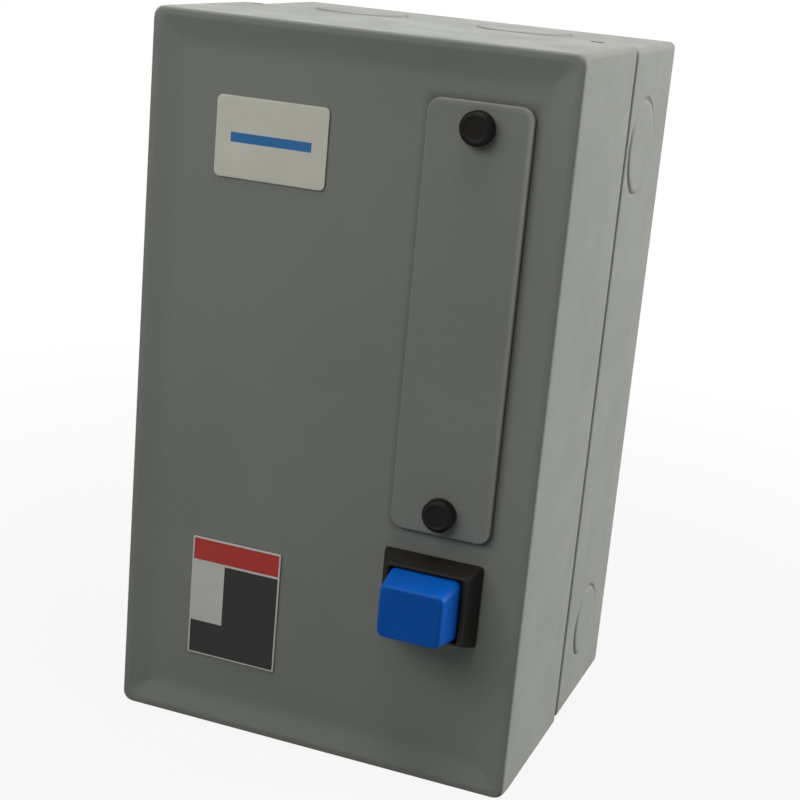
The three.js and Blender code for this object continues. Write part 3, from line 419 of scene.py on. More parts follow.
# A value that wanders between a low and a high one, for uneven gloss.
def makeGlossGroup():
    tree, given, made = newGroup("unevenGloss", {"Vector": None, "Low": 0.3, "High": 0.5, "Scale": 40.0},
                                 "Roughness")
    patch = noise(tree, given["Vector"], given["Scale"], 5.0)
    tree.links.new(remap(tree, patch, 0.3, 0.7, given["Low"], given["High"]), made)
    return tree


# One inside a rectangle of the XZ plane and nought outside, with a soft border.
def makeFieldGroup():
    tree, given, made = newGroup("softRectangleMask", {"Vector": None, "Middle X": 0.0, "Middle Z": 0.0,
                                                  "Half X": 0.01, "Half Z": 0.01, "Soft": 0.00004}, "Mask")
    outside = calculate(tree, "MULTIPLY", given["Soft"], -1.0)
    axes = addNode(tree, "SeparateXYZ", {"Vector": given["Vector"]})
    sides = []
    for axis in "XZ":
        off = calculate(tree, "SUBTRACT", axes.outputs[axis], given["Middle " + axis])
        room = calculate(tree, "SUBTRACT", given["Half " + axis], calculate(tree, "ABSOLUTE", off))
        sides.append(remap(tree, room, outside, given["Soft"], interpolation_type="SMOOTHSTEP"))
    tree.links.new(calculate(tree, "MULTIPLY", *sides), made)
    return tree


# Ridges along one axis, as on stacked sheets or wound wire.
def makeRidgeGroup():
    tree, given, made = newGroup("ridges", {"Along": 0.0, "Pitch": 0.0005}, "Height")
    phase = calculate(tree, "DIVIDE", given["Along"], given["Pitch"])
    wave = calculate(tree, "SINE", calculate(tree, "MULTIPLY", phase, 2 * math.pi))
    tree.links.new(remap(tree, wave, -1.0, 1.0), made)
    return tree


grainGroup, tintGroup, glossGroup = makeGrainGroup(), makeTintGroup(), makeGlossGroup()
fieldGroup, ridgeGroup = makeFieldGroup(), makeRidgeGroup()

# What a finish has where its own line says nothing else. Gloss is the low and the high roughness, and patches,
# speckle, grain and ripple are counts to the metre. Depth is in millimetres.
plainLook = {"speckle": 900.0, "amount": 0.7, "glossScale": 60.0, "grain": 1500.0, "ripple": 90.0,
             "rippleShare": 0.3, "bump": 0.2, "depth": 0.05, "metal": 0.0, "specular": 0.5}
fieldLook = {"patches": 60.0, "speckle": 2500.0, "amount": 0.5}
metalLook = {"metal": 1.0, "grain": 1600.0, "depth": 0.03}


def makeLook(color, other, gloss, patches, **more):
    tones = {"color": srgb(*color), "other": srgb(*other)}
    return {**plainLook, **tones, "gloss": gloss, "patches": patches, **more}


looks = {
    "powderCoat": makeLook((142, 145, 137), (134, 137, 130), (0.52, 0.66), 14.0, speckle=1300.0, amount=0.8,
                           grain=1100.0, ripple=160.0, rippleShare=0.35, bump=0.5, depth=0.09, specular=0.17),
    "blackPlastic": makeLook((26, 23, 20), (36, 32, 27), (0.38, 0.52), 90.0, grain=1800.0, bump=0.25,
                             specular=0.18),
    "studPlastic": makeLook((17, 15, 13), (25, 22, 19), (0.4, 0.54), 90.0, grain=1800.0, bump=0.25,
                            specular=0.12),
    "bluePlastic": makeLook((4, 96, 194), (3, 86, 180), (0.34, 0.44), 60.0, speckle=1500.0, amount=0.5,
                            grain=1400.0, bump=0.18, specular=0.13),
    "darkMoulding": makeLook((58, 59, 61), (70, 71, 72), (0.5, 0.66), 70.0, speckle=1700.0, bump=0.35,
                             depth=0.06),
    "paleMoulding": makeLook((142, 144, 142), (128, 130, 129), (0.46, 0.6), 60.0, speckle=1700.0, bump=0.3,
                             depth=0.06),
    "zincPlate": makeLook((205, 205, 200), (178, 176, 166), (0.26, 0.44), 120.0, speckle=1200.0, **metalLook),
    "greenPlate": makeLook((62, 140, 82), (46, 112, 66), (0.28, 0.42), 150.0, **metalLook),
    "silverPlate": makeLook((214, 208, 196), (180, 170, 150), (0.24, 0.42), 140.0, amount=0.8, **metalLook),
    "copper": makeLook((205, 133, 96), (160, 96, 66), (0.26, 0.46), 110.0, amount=0.9, metal=1.0, grain=1300.0,
                       bump=0.22, depth=0.03),
    "brass": makeLook((208, 178, 110), (176, 144, 84), (0.24, 0.4), 130.0, **metalLook),
    "resistanceStrip": makeLook((168, 160, 146), (132, 122, 108), (0.34, 0.52), 110.0, amount=0.9, metal=1.0,
                                grain=1300.0, bump=0.25, depth=0.03),
    "laminations": makeLook((132, 132, 134), (96, 92, 88), (0.34, 0.55), 120.0, amount=0.9, metal=1.0,
                            grain=1300.0, bump=0.7, depth=0.08),
    "windingWire": makeLook((176, 92, 44), (130, 62, 30), (0.22, 0.36), 160.0, amount=0.8, metal=0.6,
                            grain=1300.0, bump=0.3, depth=0.04),
    "wireCover": makeLook((150, 34, 30), (124, 26, 24), (0.3, 0.42), 120.0, grain=1700.0, bump=0.15,
                          depth=0.04),
    "whiteFilm": makeLook((226, 226, 220), (214, 213, 206), (0.34, 0.46), 70.0, speckle=2200.0, grain=2200.0,
                          bump=0.1, depth=0.03, specular=0.3),
    "redPlastic": makeLook((176, 44, 36), (150, 34, 28), (0.3, 0.42), 120.0, amount=0.6, bump=0.18),
    "whitePlastic": makeLook((214, 212, 202), (196, 193, 182), (0.4, 0.52), 100.0)}
ridges = {"laminations": {"axis": "Z", "pitch": 0.5, "share": 0.8, "groove": srgb(52, 50, 48)}}


def addTint(tree, where, look):
    return useGroup(tree, tintGroup, {"Vector": where, "Color": look["color"], "Other": look["other"],
                                      "Patches": look["patches"], "Speckle": look["speckle"],
                                      "Amount": look["amount"]})


# A finish is a principled shader with patchy colour, uneven gloss and a grained bump. Fields of print and of
# painted shade lie over it, ridges darken its grooves, and a painted highlight turns it pale where the piece's
# highlight attribute is high.
def makeFinish(name, look, overlaidFields=(), ridge=None, paintedHighlightColor=None):
    material = bpy.data.materials.new(name)
    material.use_nodes = True
    tree = material.node_tree
    shader = next(n for n in tree.nodes if n.type == "BSDF_PRINCIPLED")
    where = addNode(tree, "TexCoord").outputs["Object"]
    color = addTint(tree, where, look)
    # Fields are print on the labels and painted shade round the blank plate.
    for field in overlaidFields:
        sizes = [*field["middle"], *field["half"], field.get("soft", 0.04)]
        labels = ("Middle X", "Middle Z", "Half X", "Half Z", "Soft")
        mask = useGroup(tree, fieldGroup, {"Vector": where, **{k: v * mm for k, v in zip(labels, sizes)}})
        color = blend(tree, mask, color, addTint(tree, where, {**fieldLook, **field}))
    # A painted highlight: the colour turns pale where the piece's highlight attribute is high.
    if paintedHighlightColor:
        color = blend(tree, addNode(tree, "Attribute", attribute_name="rub").outputs["Fac"], color, paintedHighlightColor)
    gloss = useGroup(tree, glossGroup, {"Vector": where, "Low": look["gloss"][0], "High": look["gloss"][1],
                                        "Scale": look["glossScale"]})
    height = useGroup(tree, grainGroup, {"Vector": where, "Grain": look["grain"], "Ripple": look["ripple"],
                                         "Ripple share": look["rippleShare"]})
    if ridge:
        along = addNode(tree, "SeparateXYZ", {"Vector": where}).outputs[ridge["axis"]]
        raised = useGroup(tree, ridgeGroup, {"Along": along, "Pitch": ridge["pitch"] * mm})
        height = blend(tree, ridge["share"], height, raised, "FLOAT")
        color = blend(tree, raised, ridge["groove"], color)
    bump = addNode(tree, "Bump", {"Height": height, "Strength": look["bump"], "Distance": look["depth"] * mm})
    tree.links.new(color, shader.inputs["Base Color"])
    tree.links.new(gloss, shader.inputs["Roughness"])
    tree.links.new(bump.outputs["Normal"], shader.inputs["Normal"])
    shader.inputs["Metallic"].default_value = look["metal"]
    shader.inputs["Specular IOR Level"].default_value = look["specular"]
    return material


finishes = {name: makeFinish(name, look, ridge=ridges.get(name)) for name, look in looks.items()}
print("finishes made:", len(finishes))


# The cover is a tray: a skirt, a bend, a flat rim, a sloping band and a flat floor with its openings.
# Its profile is [inset from the outside, depth behind the front], carried round the rounded rectangle.
# The last three entries are the painted shade round the blank plate: its colour, how far it reaches past the
# plate and how soft its edge is.
cover = {"pastNut": 10.5, "wall": 1.5, "corner": 1.9, "nose": 1.9, "noseEnd": 4.0, "bend": 1.7, "rim": 2.0,
         "band": 8.2, "dish": 2.0, "softRim": 0.8, "softFloor": 3.5, "floorEdge": 4.5, "step": 6.0,
         "skirtRows": 12, "window": (25.2, 102.0), "neck": (29.2, 25.4), "notch": 2.5, "hooks": (-66.0, 60.0),
         "hookWidth": 4.8, "hookGap": 0.8, "hookRoot": 3.0, "grime": srgb(98, 100, 96), "paintedShadeReach": 0.5,
         "paintedShadeSoft": 2.6}


# The sides of a rectangular opening: its two places on X, then its two on Z.
def openingAt(middle, size):
    return [middle[axis] + side * span / 2 for axis, span in zip((0, 2), size) for side in (-1, 1)]


def makeCover():
    low, high = boxOf("cover")
    plate, bezel, screw = middleOf("blank_plate"), middleOf("reset_bezel"), middleOf("cover_screw")
    half, front, wall, rim = (high[0], high[2]), low[1], cover["wall"], cover["rim"]
    seam = boxOf("cover_screw_nut")[0][1] + cover["pastNut"]
    floorAt = rim + cover["band"]
    inset = floorAt + cover["floorEdge"]
    bend = softened([(0, seam - front), (0, 0), (rim, 0)], cover["bend"], 6)
    band = softened([(rim, 0), (rim + 0.6, 0), (floorAt, cover["dish"]), (inset, cover["dish"])],
                    [cover["softRim"], cover["softFloor"]], 6)
    skirt = np.linspace(seam - front, cover["bend"], cover["skirtRows"], endpoint=False)
    outerLine = np.vstack([np.stack([0 * skirt, skirt], -1), bend[1:], band[1:-1],
                           [(inset - 0.4, cover["dish"]), (inset, cover["dish"])]])
    slope = np.gradient(outerLine, axis=0)
    slope /= np.linalg.norm(slope, axis=1)[:, None]
    innerLine = outerLine + wall * np.stack([-slope[:, 1], slope[:, 0]], -1)
    innerLine[0] = (wall, seam - front)
    innerLine[-2:] = outerLine[-2:] + [0, wall]
    floorHalf = half[0] - inset, half[1] - inset
    window, neck = openingAt(plate, cover["window"]), openingAt(bezel, cover["neck"])
    xs = linesThrough(floorHalf[0], [*window[:2], *neck[:2], -cover["notch"], cover["notch"]], cover["step"])
    zs = linesThrough(floorHalf[1], [*window[2:], *neck[2:]], cover["step"])
    plan = loopPlan(xs / floorHalf[0], zs / floorHalf[1], 6)
    sheets = []
    for line in (outerLine, innerLine):
        # The corners open out round the bend, where they are ground, and close to a mitre down the band.
        nose = cover["nose"] * np.clip(1 - line[:, 1] / cover["noseEnd"], 0, 1)
        radius = (cover["corner"] + nose) * np.clip(1.25 - line[:, 0] / 8, 0, 1)
        rings = np.stack([half[0] - line[:, 0], half[1] - line[:, 0], radius, front + line[:, 1]], -1)
        sheets.append(ringSurface(rings, (0, 0), plan))
    # The screw notch in the lower skirt, from its back edge.
    lowerX = xs / floorHalf[0] * (half[0] - cover["corner"])
    columns = [int(np.argmin(abs(lowerX - v))) + plan["starts"][3] for v in (-cover["notch"], cover["notch"])]
    row = int(np.argmin(abs(front + skirt - (screw[1] - cover["notch"]))))
    parts = skinParts(sheets[0], sheets[1], True, notches=[(row, *columns)])
    gridX, gridZ = np.meshgrid(xs, zs)
    floors = [np.stack([gridX, 0 * gridX + front + cover["dish"] + back, gridZ], -1) for back in (0, wall)]
    gaps = [cellsBetween(zs, opening[2:], xs, opening[:2]) for opening in (window, neck)]
    parts += skinParts(floors[0], floors[1], False, edges=False, gaps=gaps)
    # The hooks: a tongue over the top edge that turns down through its slot and back under the wall.
    gap, root, top = cover["hookGap"], seam - cover["hookRoot"], high[2]
    toe = top - 2 * wall - gap
    hook = [(root, top - wall), (seam, top - wall), (seam, toe - wall), (high[1], toe - wall), (high[1], toe),
            (seam + wall, toe), (seam + wall, top - gap), (seam + wall - gap, top), (root, top)]
    for x in cover["hooks"]:
        parts += extrudedParts(hook, x - cover["hookWidth"] / 2, x + cover["hookWidth"] / 2)
    # Painted shade lies in a soft dark band round the blank plate.
    low, high = boxOf("blank_plate")
    grime = {"middle": plate[[0, 2]], "half": (high - low)[[0, 2]] / 2 + cover["paintedShadeReach"],
             "soft": cover["paintedShadeSoft"], "color": cover["grime"], "other": cover["grime"]}
    finish = makeFinish("paintedShadeCoat", looks["powderCoat"], overlaidFields=[grime])
    return makePiece("coverShell", parts, "cover", ["cover"], finish, sharp=40)


# The base is a deeper tray. Its walls step in to a lip inside the cover and hold knockouts, and its back has
# seats and holes.
base = {"wall": 1.5, "corner": 2.3, "bend": 2.2, "step": 2.5, "floorEdge": 1.5, "slit": 1.3, "slitDepth": 0.75,
        "press": 0.4, "lipEnd": -58.0, "lipGap": 0.5, "lipRound": 1.3, "patchEdge": 1.6,
        "radii": {"upper": 17.45, "lower": 14.3, "left": 17.45, "right": 17.45}, "tieTurn": 128.0,
        "tieHalf": 9.0, "tieFade": 35.0, "tieCut": 0.12, "seatRadius": 6.0, "seatRise": 3.0, "seatHole": 2.3,
        "seatPatch": 9.5, "wallHole": 3.0, "wallPatch": 5.0, "wallHoles": [(0, 115), (-45, -115), (45, -115)],
        "hookSlots": [(-68.5, -63.0), (57.0, 63.0)], "hookDepths": (-65.54, -57.3), "screwHole": 2.5,
        "screwPatch": 4.0}

# Each wall has an axis along it, an outward normal and a place in the loop.
sides = {"right": (2, (1, 0, 0), 0), "top": (0, (0, 0, 1), 1), "left": (2, (-1, 0, 0), 2),
         "bottom": (0, (0, 0, -1), 3)}


# How deep a knockout's slit is in each direction: next to nothing at its two ties.
def slitShade(across, up):
    tie = math.radians(base["tieTurn"])
    line = math.cos(tie) * np.array(across) + math.sin(tie) * np.array(up)

    def shade(away):
        off = np.degrees(np.arccos(np.clip(abs(away @ line), 0, 1)))
        return np.clip((off - base["tieHalf"]) / base["tieFade"], base["tieCut"], 1)
    return shade


# An inward lift follows the shade, so the slit fades out at the ties and the pressed slug stays.
def shadedLift(lift, share, shade):
    return lift if lift >= 0 else lambda away: share * lift * shade(away)


# The cells that hold a round feature: [depth range, range along the wall].
def patchRound(place, along, reach):
    return [place[1] - reach, place[1] + reach], [place[along] - reach, place[along] + reach]


def makeBase():
    low, high = boxOf("base_box")
    half, wall, corner, step = (high[0], high[2]), base["wall"], base["corner"], base["step"]
    screw = middleOf("cover_screw")
    screwPatch = patchRound(screw, 0, base["screwPatch"])
    depthMarks = [*base["hookDepths"], *screwPatch[0]]
    alongMarks = {0: [*screwPatch[1], *sum(base["hookSlots"], ())], 2: []}
    knockouts = []
    for mount in frame["record"]["mounts"]:
        if "knockout" in mount["name"]:
            side, size = mount["name"].split("_")[:2]
            place, radius, along = np.array(mount["pos_m"]) / mm, base["radii"][size], sides[side][0]
            patch = patchRound(place, along, radius + base["patchEdge"])
            knockouts.append((place, radius, patch, *sides[side]))
            depthMarks += patch[0]
            alongMarks[along] += patch[1]
    xs, zs = (linesThrough(h - corner, {round(v, 3) for v in alongMarks[axis]}, step)
              for h, axis in zip(half, (0, 2)))
    lipRows = base["lipEnd"] + base["lipRound"] * np.array([-0.25, 0.0, 0.15, 0.35, 0.6, 1.0])
    stops = {low[1], high[1] - base["bend"], *[round(v, 3) for v in [*depthMarks, *lipRows]]}
    depths = linesBetween(sorted(stops), step)
    plan = loopPlan(xs / (half[0] - corner), zs / (half[1] - corner), 5)
    inset = corner + base["floorEdge"]
    # The step's outline: full inset at the lip, then a quarter round that flattens out on the wall. The lip
    # clears the inside of the cover by a small gap on every side.
    ahead = np.clip(1 - (depths - base["lipEnd"]) / base["lipRound"], 0, 1)
    stepShare = np.where(depths < base["lipEnd"], 1, 1 - np.sqrt(1 - ahead ** 2 * 0.98))
    lipSteps = np.array(half) - boxOf("cover")[1][[0, 2]] + wall + base["lipGap"]
    bend = softened([(0, depths[-1]), (0, high[1]), (base["bend"], high[1])], base["bend"], 5)
    innerBend = softened([(wall, depths[-1]), (wall, high[1] - wall), (base["bend"] + 0.3, high[1] - wall)],
                         0.7, 5)
    sheets = []
    for back, turn in ((0, bend), (wall, innerBend)):
        line = np.vstack([np.stack([0 * depths + back, depths], -1), turn[1:], [(inset, high[1] - back)]])
        steps = np.concatenate([stepShare, np.zeros(len(line) - len(depths))])
        rings = [half[0] - line[:, 0] - lipSteps[0] * steps, half[1] - line[:, 0] - lipSteps[1] * steps,
                 np.maximum(corner - line[:, 0] - steps, 0), line[:, 1]]
        sheets.append(ringSurface(np.stack(rings, -1), (0, 0), plan))
    # A knockout: a round slit in the wall, and the slug inside it pressed out a little.
    slit, press = base["slit"], base["press"]
    lifts = [0, 0, -0.12, -base["slitDepth"], -0.12 + press * 0.6, press, press, press, press]
    dimples = []
    for place, radius, patch, along, normal, side in knockouts:
        shade = slitShade((0, 1, 0), (0, 0, 1) if along == 2 else (1, 0, 0))
        lines = (zs, xs[::-1], zs[::-1], xs)[side]
        cells = cellsBetween(depths, patch[0], lines, patch[1], plan["starts"][side])
        radii = [radius + 1.2, radius + 0.35, radius + 0.1, radius - slit / 2, radius - slit,
                 radius - slit - 0.4, radius - 3.0, radius * 0.6, radius * 0.25]
        dimples.append({"cells": cells, "middle": place, "normal": np.array(normal, float), "radii": radii,
                        "lifts": [shadedLift(v, 1, shade) for v in lifts],
                        "innerLifts": [shadedLift(v, -0.5, shade) for v in lifts]})
    dimples.append({"cells": cellsBetween(depths, screwPatch[0], xs, screwPatch[1], plan["starts"][3]),
                    "middle": np.array([screw[0], screw[1], low[2] + lipSteps[1]]), "finer": 2, "hole": True,
                    "normal": np.array([0, 0, -1.0]), "radii": [base["screwHole"] + 0.3, base["screwHole"]],
                    "lifts": [0, -0.2], "innerLifts": [0, 0.2]})
    gaps = [cellsBetween(depths, base["hookDepths"], xs[::-1], slot, plan["starts"][1])
            for slot in base["hookSlots"]]
    parts = skinParts(sheets[0], sheets[1], True, gaps=gaps, dimples=dimples)

    # The back: plain holes for the wall screws, and raised seats for the screws inside.
    floorX, floorZ = (lines / (h - corner) * (h - inset) for lines, h in zip((xs, zs), half))
    gridX, gridZ = np.meshgrid(floorX, floorZ)
    floors = [np.stack([gridX, 0 * gridX + y, gridZ], -1) for y in (high[1], high[1] - wall)]
    seat, hole, rise = base["seatRadius"], base["seatHole"], base["seatRise"]
    holes = [{"place": place, "reach": base["wallPatch"], "radii": [base["wallHole"] + 0.35, base["wallHole"]],
              "lifts": [0, -0.25], "innerLifts": [0, 0.25]} for place in base["wallHoles"]]
    holes += [{"place": middleOf(node)[[0, 2]], "reach": base["seatPatch"],
               "radii": [seat + 1.6, seat + 0.8, seat, seat - 0.9, hole + 0.2, hole],
               "lifts": [0, -0.5, -rise + 0.5, -rise, -rise, -rise + 0.1]}
              for node in ("plate_screw_upper", "plate_screw_lower", "ground_screw")]
    for h in holes:
        (x, z), reach = h["place"], h["reach"]
        h["cells"] = cellsBetween(floorZ, (z - reach, z + reach), floorX, (x - reach, x + reach))
        h.update({"middle": np.array([x, high[1], z]), "normal": np.array([0, 1.0, 0]), "finer": 3,
                  "hole": True})
    parts += skinParts(floors[0], floors[1], False, edges=False, dimples=holes)
    return makePiece("baseShell", parts, "base", ["base_box"], finishes["powderCoat"], sharp=40)


# The blank plate: a thin plate with its edges rounded off and a painted highlight on them, most of all at the
# upper right.
plate = {"corner": 4.6, "edge": 0.75, "faceInset": 2.6, "paintedHighlightColor": srgb(178, 181, 172), "paintedHighlightDepth": 1.0,
         "rub": (0.3, 0.5, -0.1), "paintedHighlightFade": 0.42}


def makePlate():
    low, high, half, middle = sizesOf("blank_plate")
    line = softened([(2.0, low[1]), (0, low[1]), (0, high[1]), (2.0, high[1])], plate["edge"], 5)
    line = np.vstack([[plate["faceInset"], low[1]], line, [plate["faceInset"], high[1]]])
    rings = np.stack([half[0] - line[:, 0], half[2] - line[:, 0], plate["corner"] - line[:, 0], line[:, 1]], -1)
    parts = ringSolid(rings, middle, loopPlan([-1, 0, 1], np.linspace(-1, 1, 9), 8))
    finish = makeFinish("paintedHighlightCoat", looks["powderCoat"], paintedHighlightColor=plate["paintedHighlightColor"])
    piece = makePiece("blankPlate", parts, "cover", ["blank_plate"], finish, sharp=50)
    # How far each point lies past the straight part of the plate, and which way it points out.
    points = np.empty(3 * len(piece.data.vertices))
    piece.data.vertices.foreach_get("co", points)
    off = (points.reshape(-1, 3) / mm - middle)[:, [0, 2]]
    past = np.maximum(np.abs(off) - (half[[0, 2]] - plate["corner"]), 0)
    reach = np.hypot(*past.T)
    out = past * np.sign(off) / np.maximum(reach, 0.01)[:, None]
    # A painted highlight on the rounded edge: its share grows towards the right and fades towards the bottom.
    rub = np.clip(plate["rub"][0] + out @ plate["rub"][1:], 0, 1)
    rub *= reach > plate["corner"] - plate["paintedHighlightDepth"]
    rub *= 1 + plate["paintedHighlightFade"] * (off[:, 1] / half[2] - 1)
    piece.data.attributes.new("rub", "FLOAT", "POINT").data.foreach_set("value", rub)
    return piece


# Push studs: a thick round head with a chamfer and a shallow dish, and a barb behind the panel.
stud = {"head": 5.6, "rise": 4.2, "chamfer": 1.2, "dish": 0.35, "shank": 3.2, "barb": 4.4, "barbLength": 4.5}


def makeStud(node):
    low, high, _, middle = sizesOf(node)
    head, shank, chamfer = stud["head"], stud["shank"], stud["chamfer"]
    front, seat, barbAt = low[1], low[1] + stud["rise"], high[1] - stud["barbLength"]
    profile = softened([(0, front + stud["dish"]), (head - 2.2, front + stud["dish"]), (head - 1.7, front),
                        (head - chamfer, front), (head, front + chamfer), (head, seat), (shank, seat),
                        (shank, barbAt), (stud["barb"], barbAt), (shank - 1, high[1]), (0, high[1])],
                       [0.25, 0.2, 0.3, 0.5, 0.25, 0.1, 0.1, 0.2, 0.4], 4)
    head = turnedPart(profile, middle, 48)
    return makePiece(camelName(node), [head], "cover", [node], finishes["studPlastic"], sharp=50)


# The bezel: a four-sided frustum round the button, and a neck through the panel. Rings are [half width, half
# height, corner radius, y], from the outside over the front lip and back down the opening.
bezel = {"corner": 1.2, "lip": (14.9, 12.0), "opening": (13.0, 11.1), "neck": (14.3, 12.4), "foot": 0.8}


def makeBezel():
    low, high, half, middle = sizesOf("reset_bezel")
    seat = boxOf("blank_plate")[1][1]
    lip, opening, neck, r = bezel["lip"], bezel["opening"], bezel["neck"], bezel["corner"]
    rings = [(*neck, 0.8, high[1]), (*neck, 0.8, seat), (half[0], half[2], r, seat),
             (half[0], half[2], r, seat - bezel["foot"]), (*lip, r, low[1]), (*opening, 0.8, low[1]),
             (*opening, 0.8, high[1])]
    rings = softened(rings, [0.1, 0.2, 0.3, 0.5, 0.35], 4)
    parts = [gridPart(ringSurface(rings, middle), closeRows=True, closeCols=True)]
    return makePiece("resetBezel", parts, "cover", ["reset_bezel"], finishes["blackPlastic"], sharp=40)


# The button: a tapered cap with soft edges and a slightly hollow face, over a collar and a round stem.
button = {"half": np.array([12.5, 10.6]), "taper": 1.3, "edge": 1.9, "corner": 2.8, "hollow": 0.25,
          "collar": (15.5, 12.6), "collarGap": 0.3, "collarDepth": 1.5, "stem": 4.0, "stemChamfer": 0.6}


def makeButton():
    low, high, _, middle = sizesOf("reset_button")
    (_, rim, _), (_, neckEnd, _) = boxOf("reset_bezel")
    half, corner, hollow = button["half"], button["corner"], button["hollow"]
    small = half - button["taper"]
    front, collar, stem = low[1], neckEnd + button["collarGap"], button["stem"]
    collarEnd, tip = collar + button["collarDepth"], stem - button["stemChamfer"]
    face = [(0.5, 0.4, 0.2, front + hollow), (*small * 0.6, 1.2, front + hollow * 0.7), (*small, corner, front),
            (*half, corner * 0.8, rim), (*half, 0.8, collar), (*button["collar"], 1.0, collar),
            (*button["collar"], 1.0, collarEnd), (stem, stem, stem, collarEnd),
            (stem, stem, stem, high[1] - button["stemChamfer"]), (tip, tip, tip, high[1])]
    rings = softened(face, [2.5, button["edge"], 0.3, 0.1, 0.2, 0.2, 0.3, 0.2], 7)
    plan = loopPlan(np.linspace(-1, 1, 5), np.linspace(-1, 1, 5), 8)
    parts = ringSolid(rings, middle, plan)
    return makePiece("resetButton", parts, "reset_button", ["reset_button"], finishes["bluePlastic"], sharp=45)


# Labels are thin films with soft corners, and plain blocks of ink. Blocks are [half width, half height] on the
# rating label, and places inside a thin border on the notice.
labels = {"ratingCorner": 1.9, "ratingBar": (14.5, 1.6), "noticeCorner": 0.7, "border": 0.6, "split": 12.2,
          "band": 7.9, "bandGap": 0.8, "shelf": 12.2}
inks = {"blue": {"color": srgb(52, 122, 186), "other": srgb(44, 108, 168)},
        "red": {"color": srgb(200, 64, 56), "other": srgb(184, 54, 47)},
        "black": {"color": srgb(27, 26, 24), "other": srgb(38, 36, 34)},
        "warmFilm": {"color": srgb(228, 227, 212), "other": srgb(216, 214, 198)}}


def makeLabel(name, node, finish, corner):
    low, high, half, middle = sizesOf(node)
    line = softened([(1.0, low[1]), (0, low[1]), (0, high[1]), (1.0, high[1])], 0.12, 3)
    radius = np.maximum(corner - line[:, 0], 0.01)
    rings = np.stack([half[0] - line[:, 0], half[2] - line[:, 0], radius, line[:, 1]], -1)
    parts = ringSolid(rings, middle, loopPlan([-1, 1], [-1, 1], 6))
    return makePiece(name, parts, "cover", [node], finish, sharp=40)


def makeLabels():
    x, _, z = middleOf("rating_sticker")
    rating = makeFinish("ratingFilm", {**looks["whiteFilm"], **inks["warmFilm"]},
                        overlaidFields=[{"middle": (x, z), "half": labels["ratingBar"], **inks["blue"]}])
    makeLabel("ratingLabel", "rating_sticker", rating, labels["ratingCorner"])
    low, high = boxOf("notice_sticker")
    (x0, _, z0), (x1, _, z1) = low + labels["border"], high - labels["border"]
    split, band, shelf = x0 + labels["split"], z1 - labels["band"], z0 + labels["shelf"]
    blocks = [((x0, x1), (band, z1), "red"), ((split, x1), (z0, band - labels["bandGap"]), "black"),
              ((x0, x1), (z0, shelf), "black")]
    overlaidFields = [{"middle": ((a + b) / 2, (c + d) / 2), "half": ((b - a) / 2, (d - c) / 2), **inks[ink]}
               for (a, b), (c, d), ink in blocks]
    notice = makeFinish("noticeFilm", looks["whiteFilm"], overlaidFields=overlaidFields)
    makeLabel("noticeLabel", "notice_sticker", notice, labels["noticeCorner"])


makeCover()
makeBase()
makePlate()
makeStud("plate_stud_upper")
makeStud("plate_stud_lower")
makeBezel()
makeButton()
makeLabels()
print("enclosure made")


# A coil spring: its centre turns about the Y axis, close-wound for most of a turn at each end. Those with a
# joint get a mesh of their own.
resetSpring = {"body": "cover", "wire": 0.5, "turns": 6, "joint": "reset_press", "travel": 4.5}
returnSpring = {"body": "base", "wire": 0.45, "turns": 7, "joint": "contactor_close", "travel": 4.7}
contactSpring = {"body": "contact_carrier", "wire": 0.4, "turns": 5, "joint": None, "travel": 0.0}


def makeSpring(node, spring):
    low, high, half, middle = sizesOf(node)
    wire, turns, joint, travel = spring["wire"], spring["turns"], spring["joint"], spring["travel"]
    radius, length = half[0] - wire, high[1] - low[1]
    t = np.linspace(0, 1, turns * 28 + 1)
    pitch = softened([(0, 0), (0.75 / turns, 0.03), (1 - 0.75 / turns, 0.97), (1, 1)], 0.05, 4)
    y = low[1] + wire + np.interp(t, pitch[:, 0], pitch[:, 1]) * (length - 2 * wire)
    angle = 2 * math.pi * turns * t
    path = np.stack([middle[0] + radius * np.cos(angle), y, middle[2] + radius * np.sin(angle)], -1)
    coil = tubeParts(path, wire, 8, (0, 1, 0))
    piece = makePiece(camelName(node), coil, spring["body"], [node], finishes["zincPlate"])
    if joint:
        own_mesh(piece)
    return piece


# A slotted screw: rows of chords cross the head from edge to edge, and drop to the slot's floor between its
# walls. The slot and the dome are shares of the head. Turns are in radians.
screws = {"shank": 2.0, "rise": 2.6, "groundRise": 3.2, "slotWidth": 0.13, "slotFloor": 0.45, "rimShare": 0.72,
          "domeShare": 0.78, "thread": 0.35, "threadDepth": 0.16, "chamfer": 0.5, "coverHead": 4.0,
          "coverRise": 2.2, "coverTurn": 0.9}


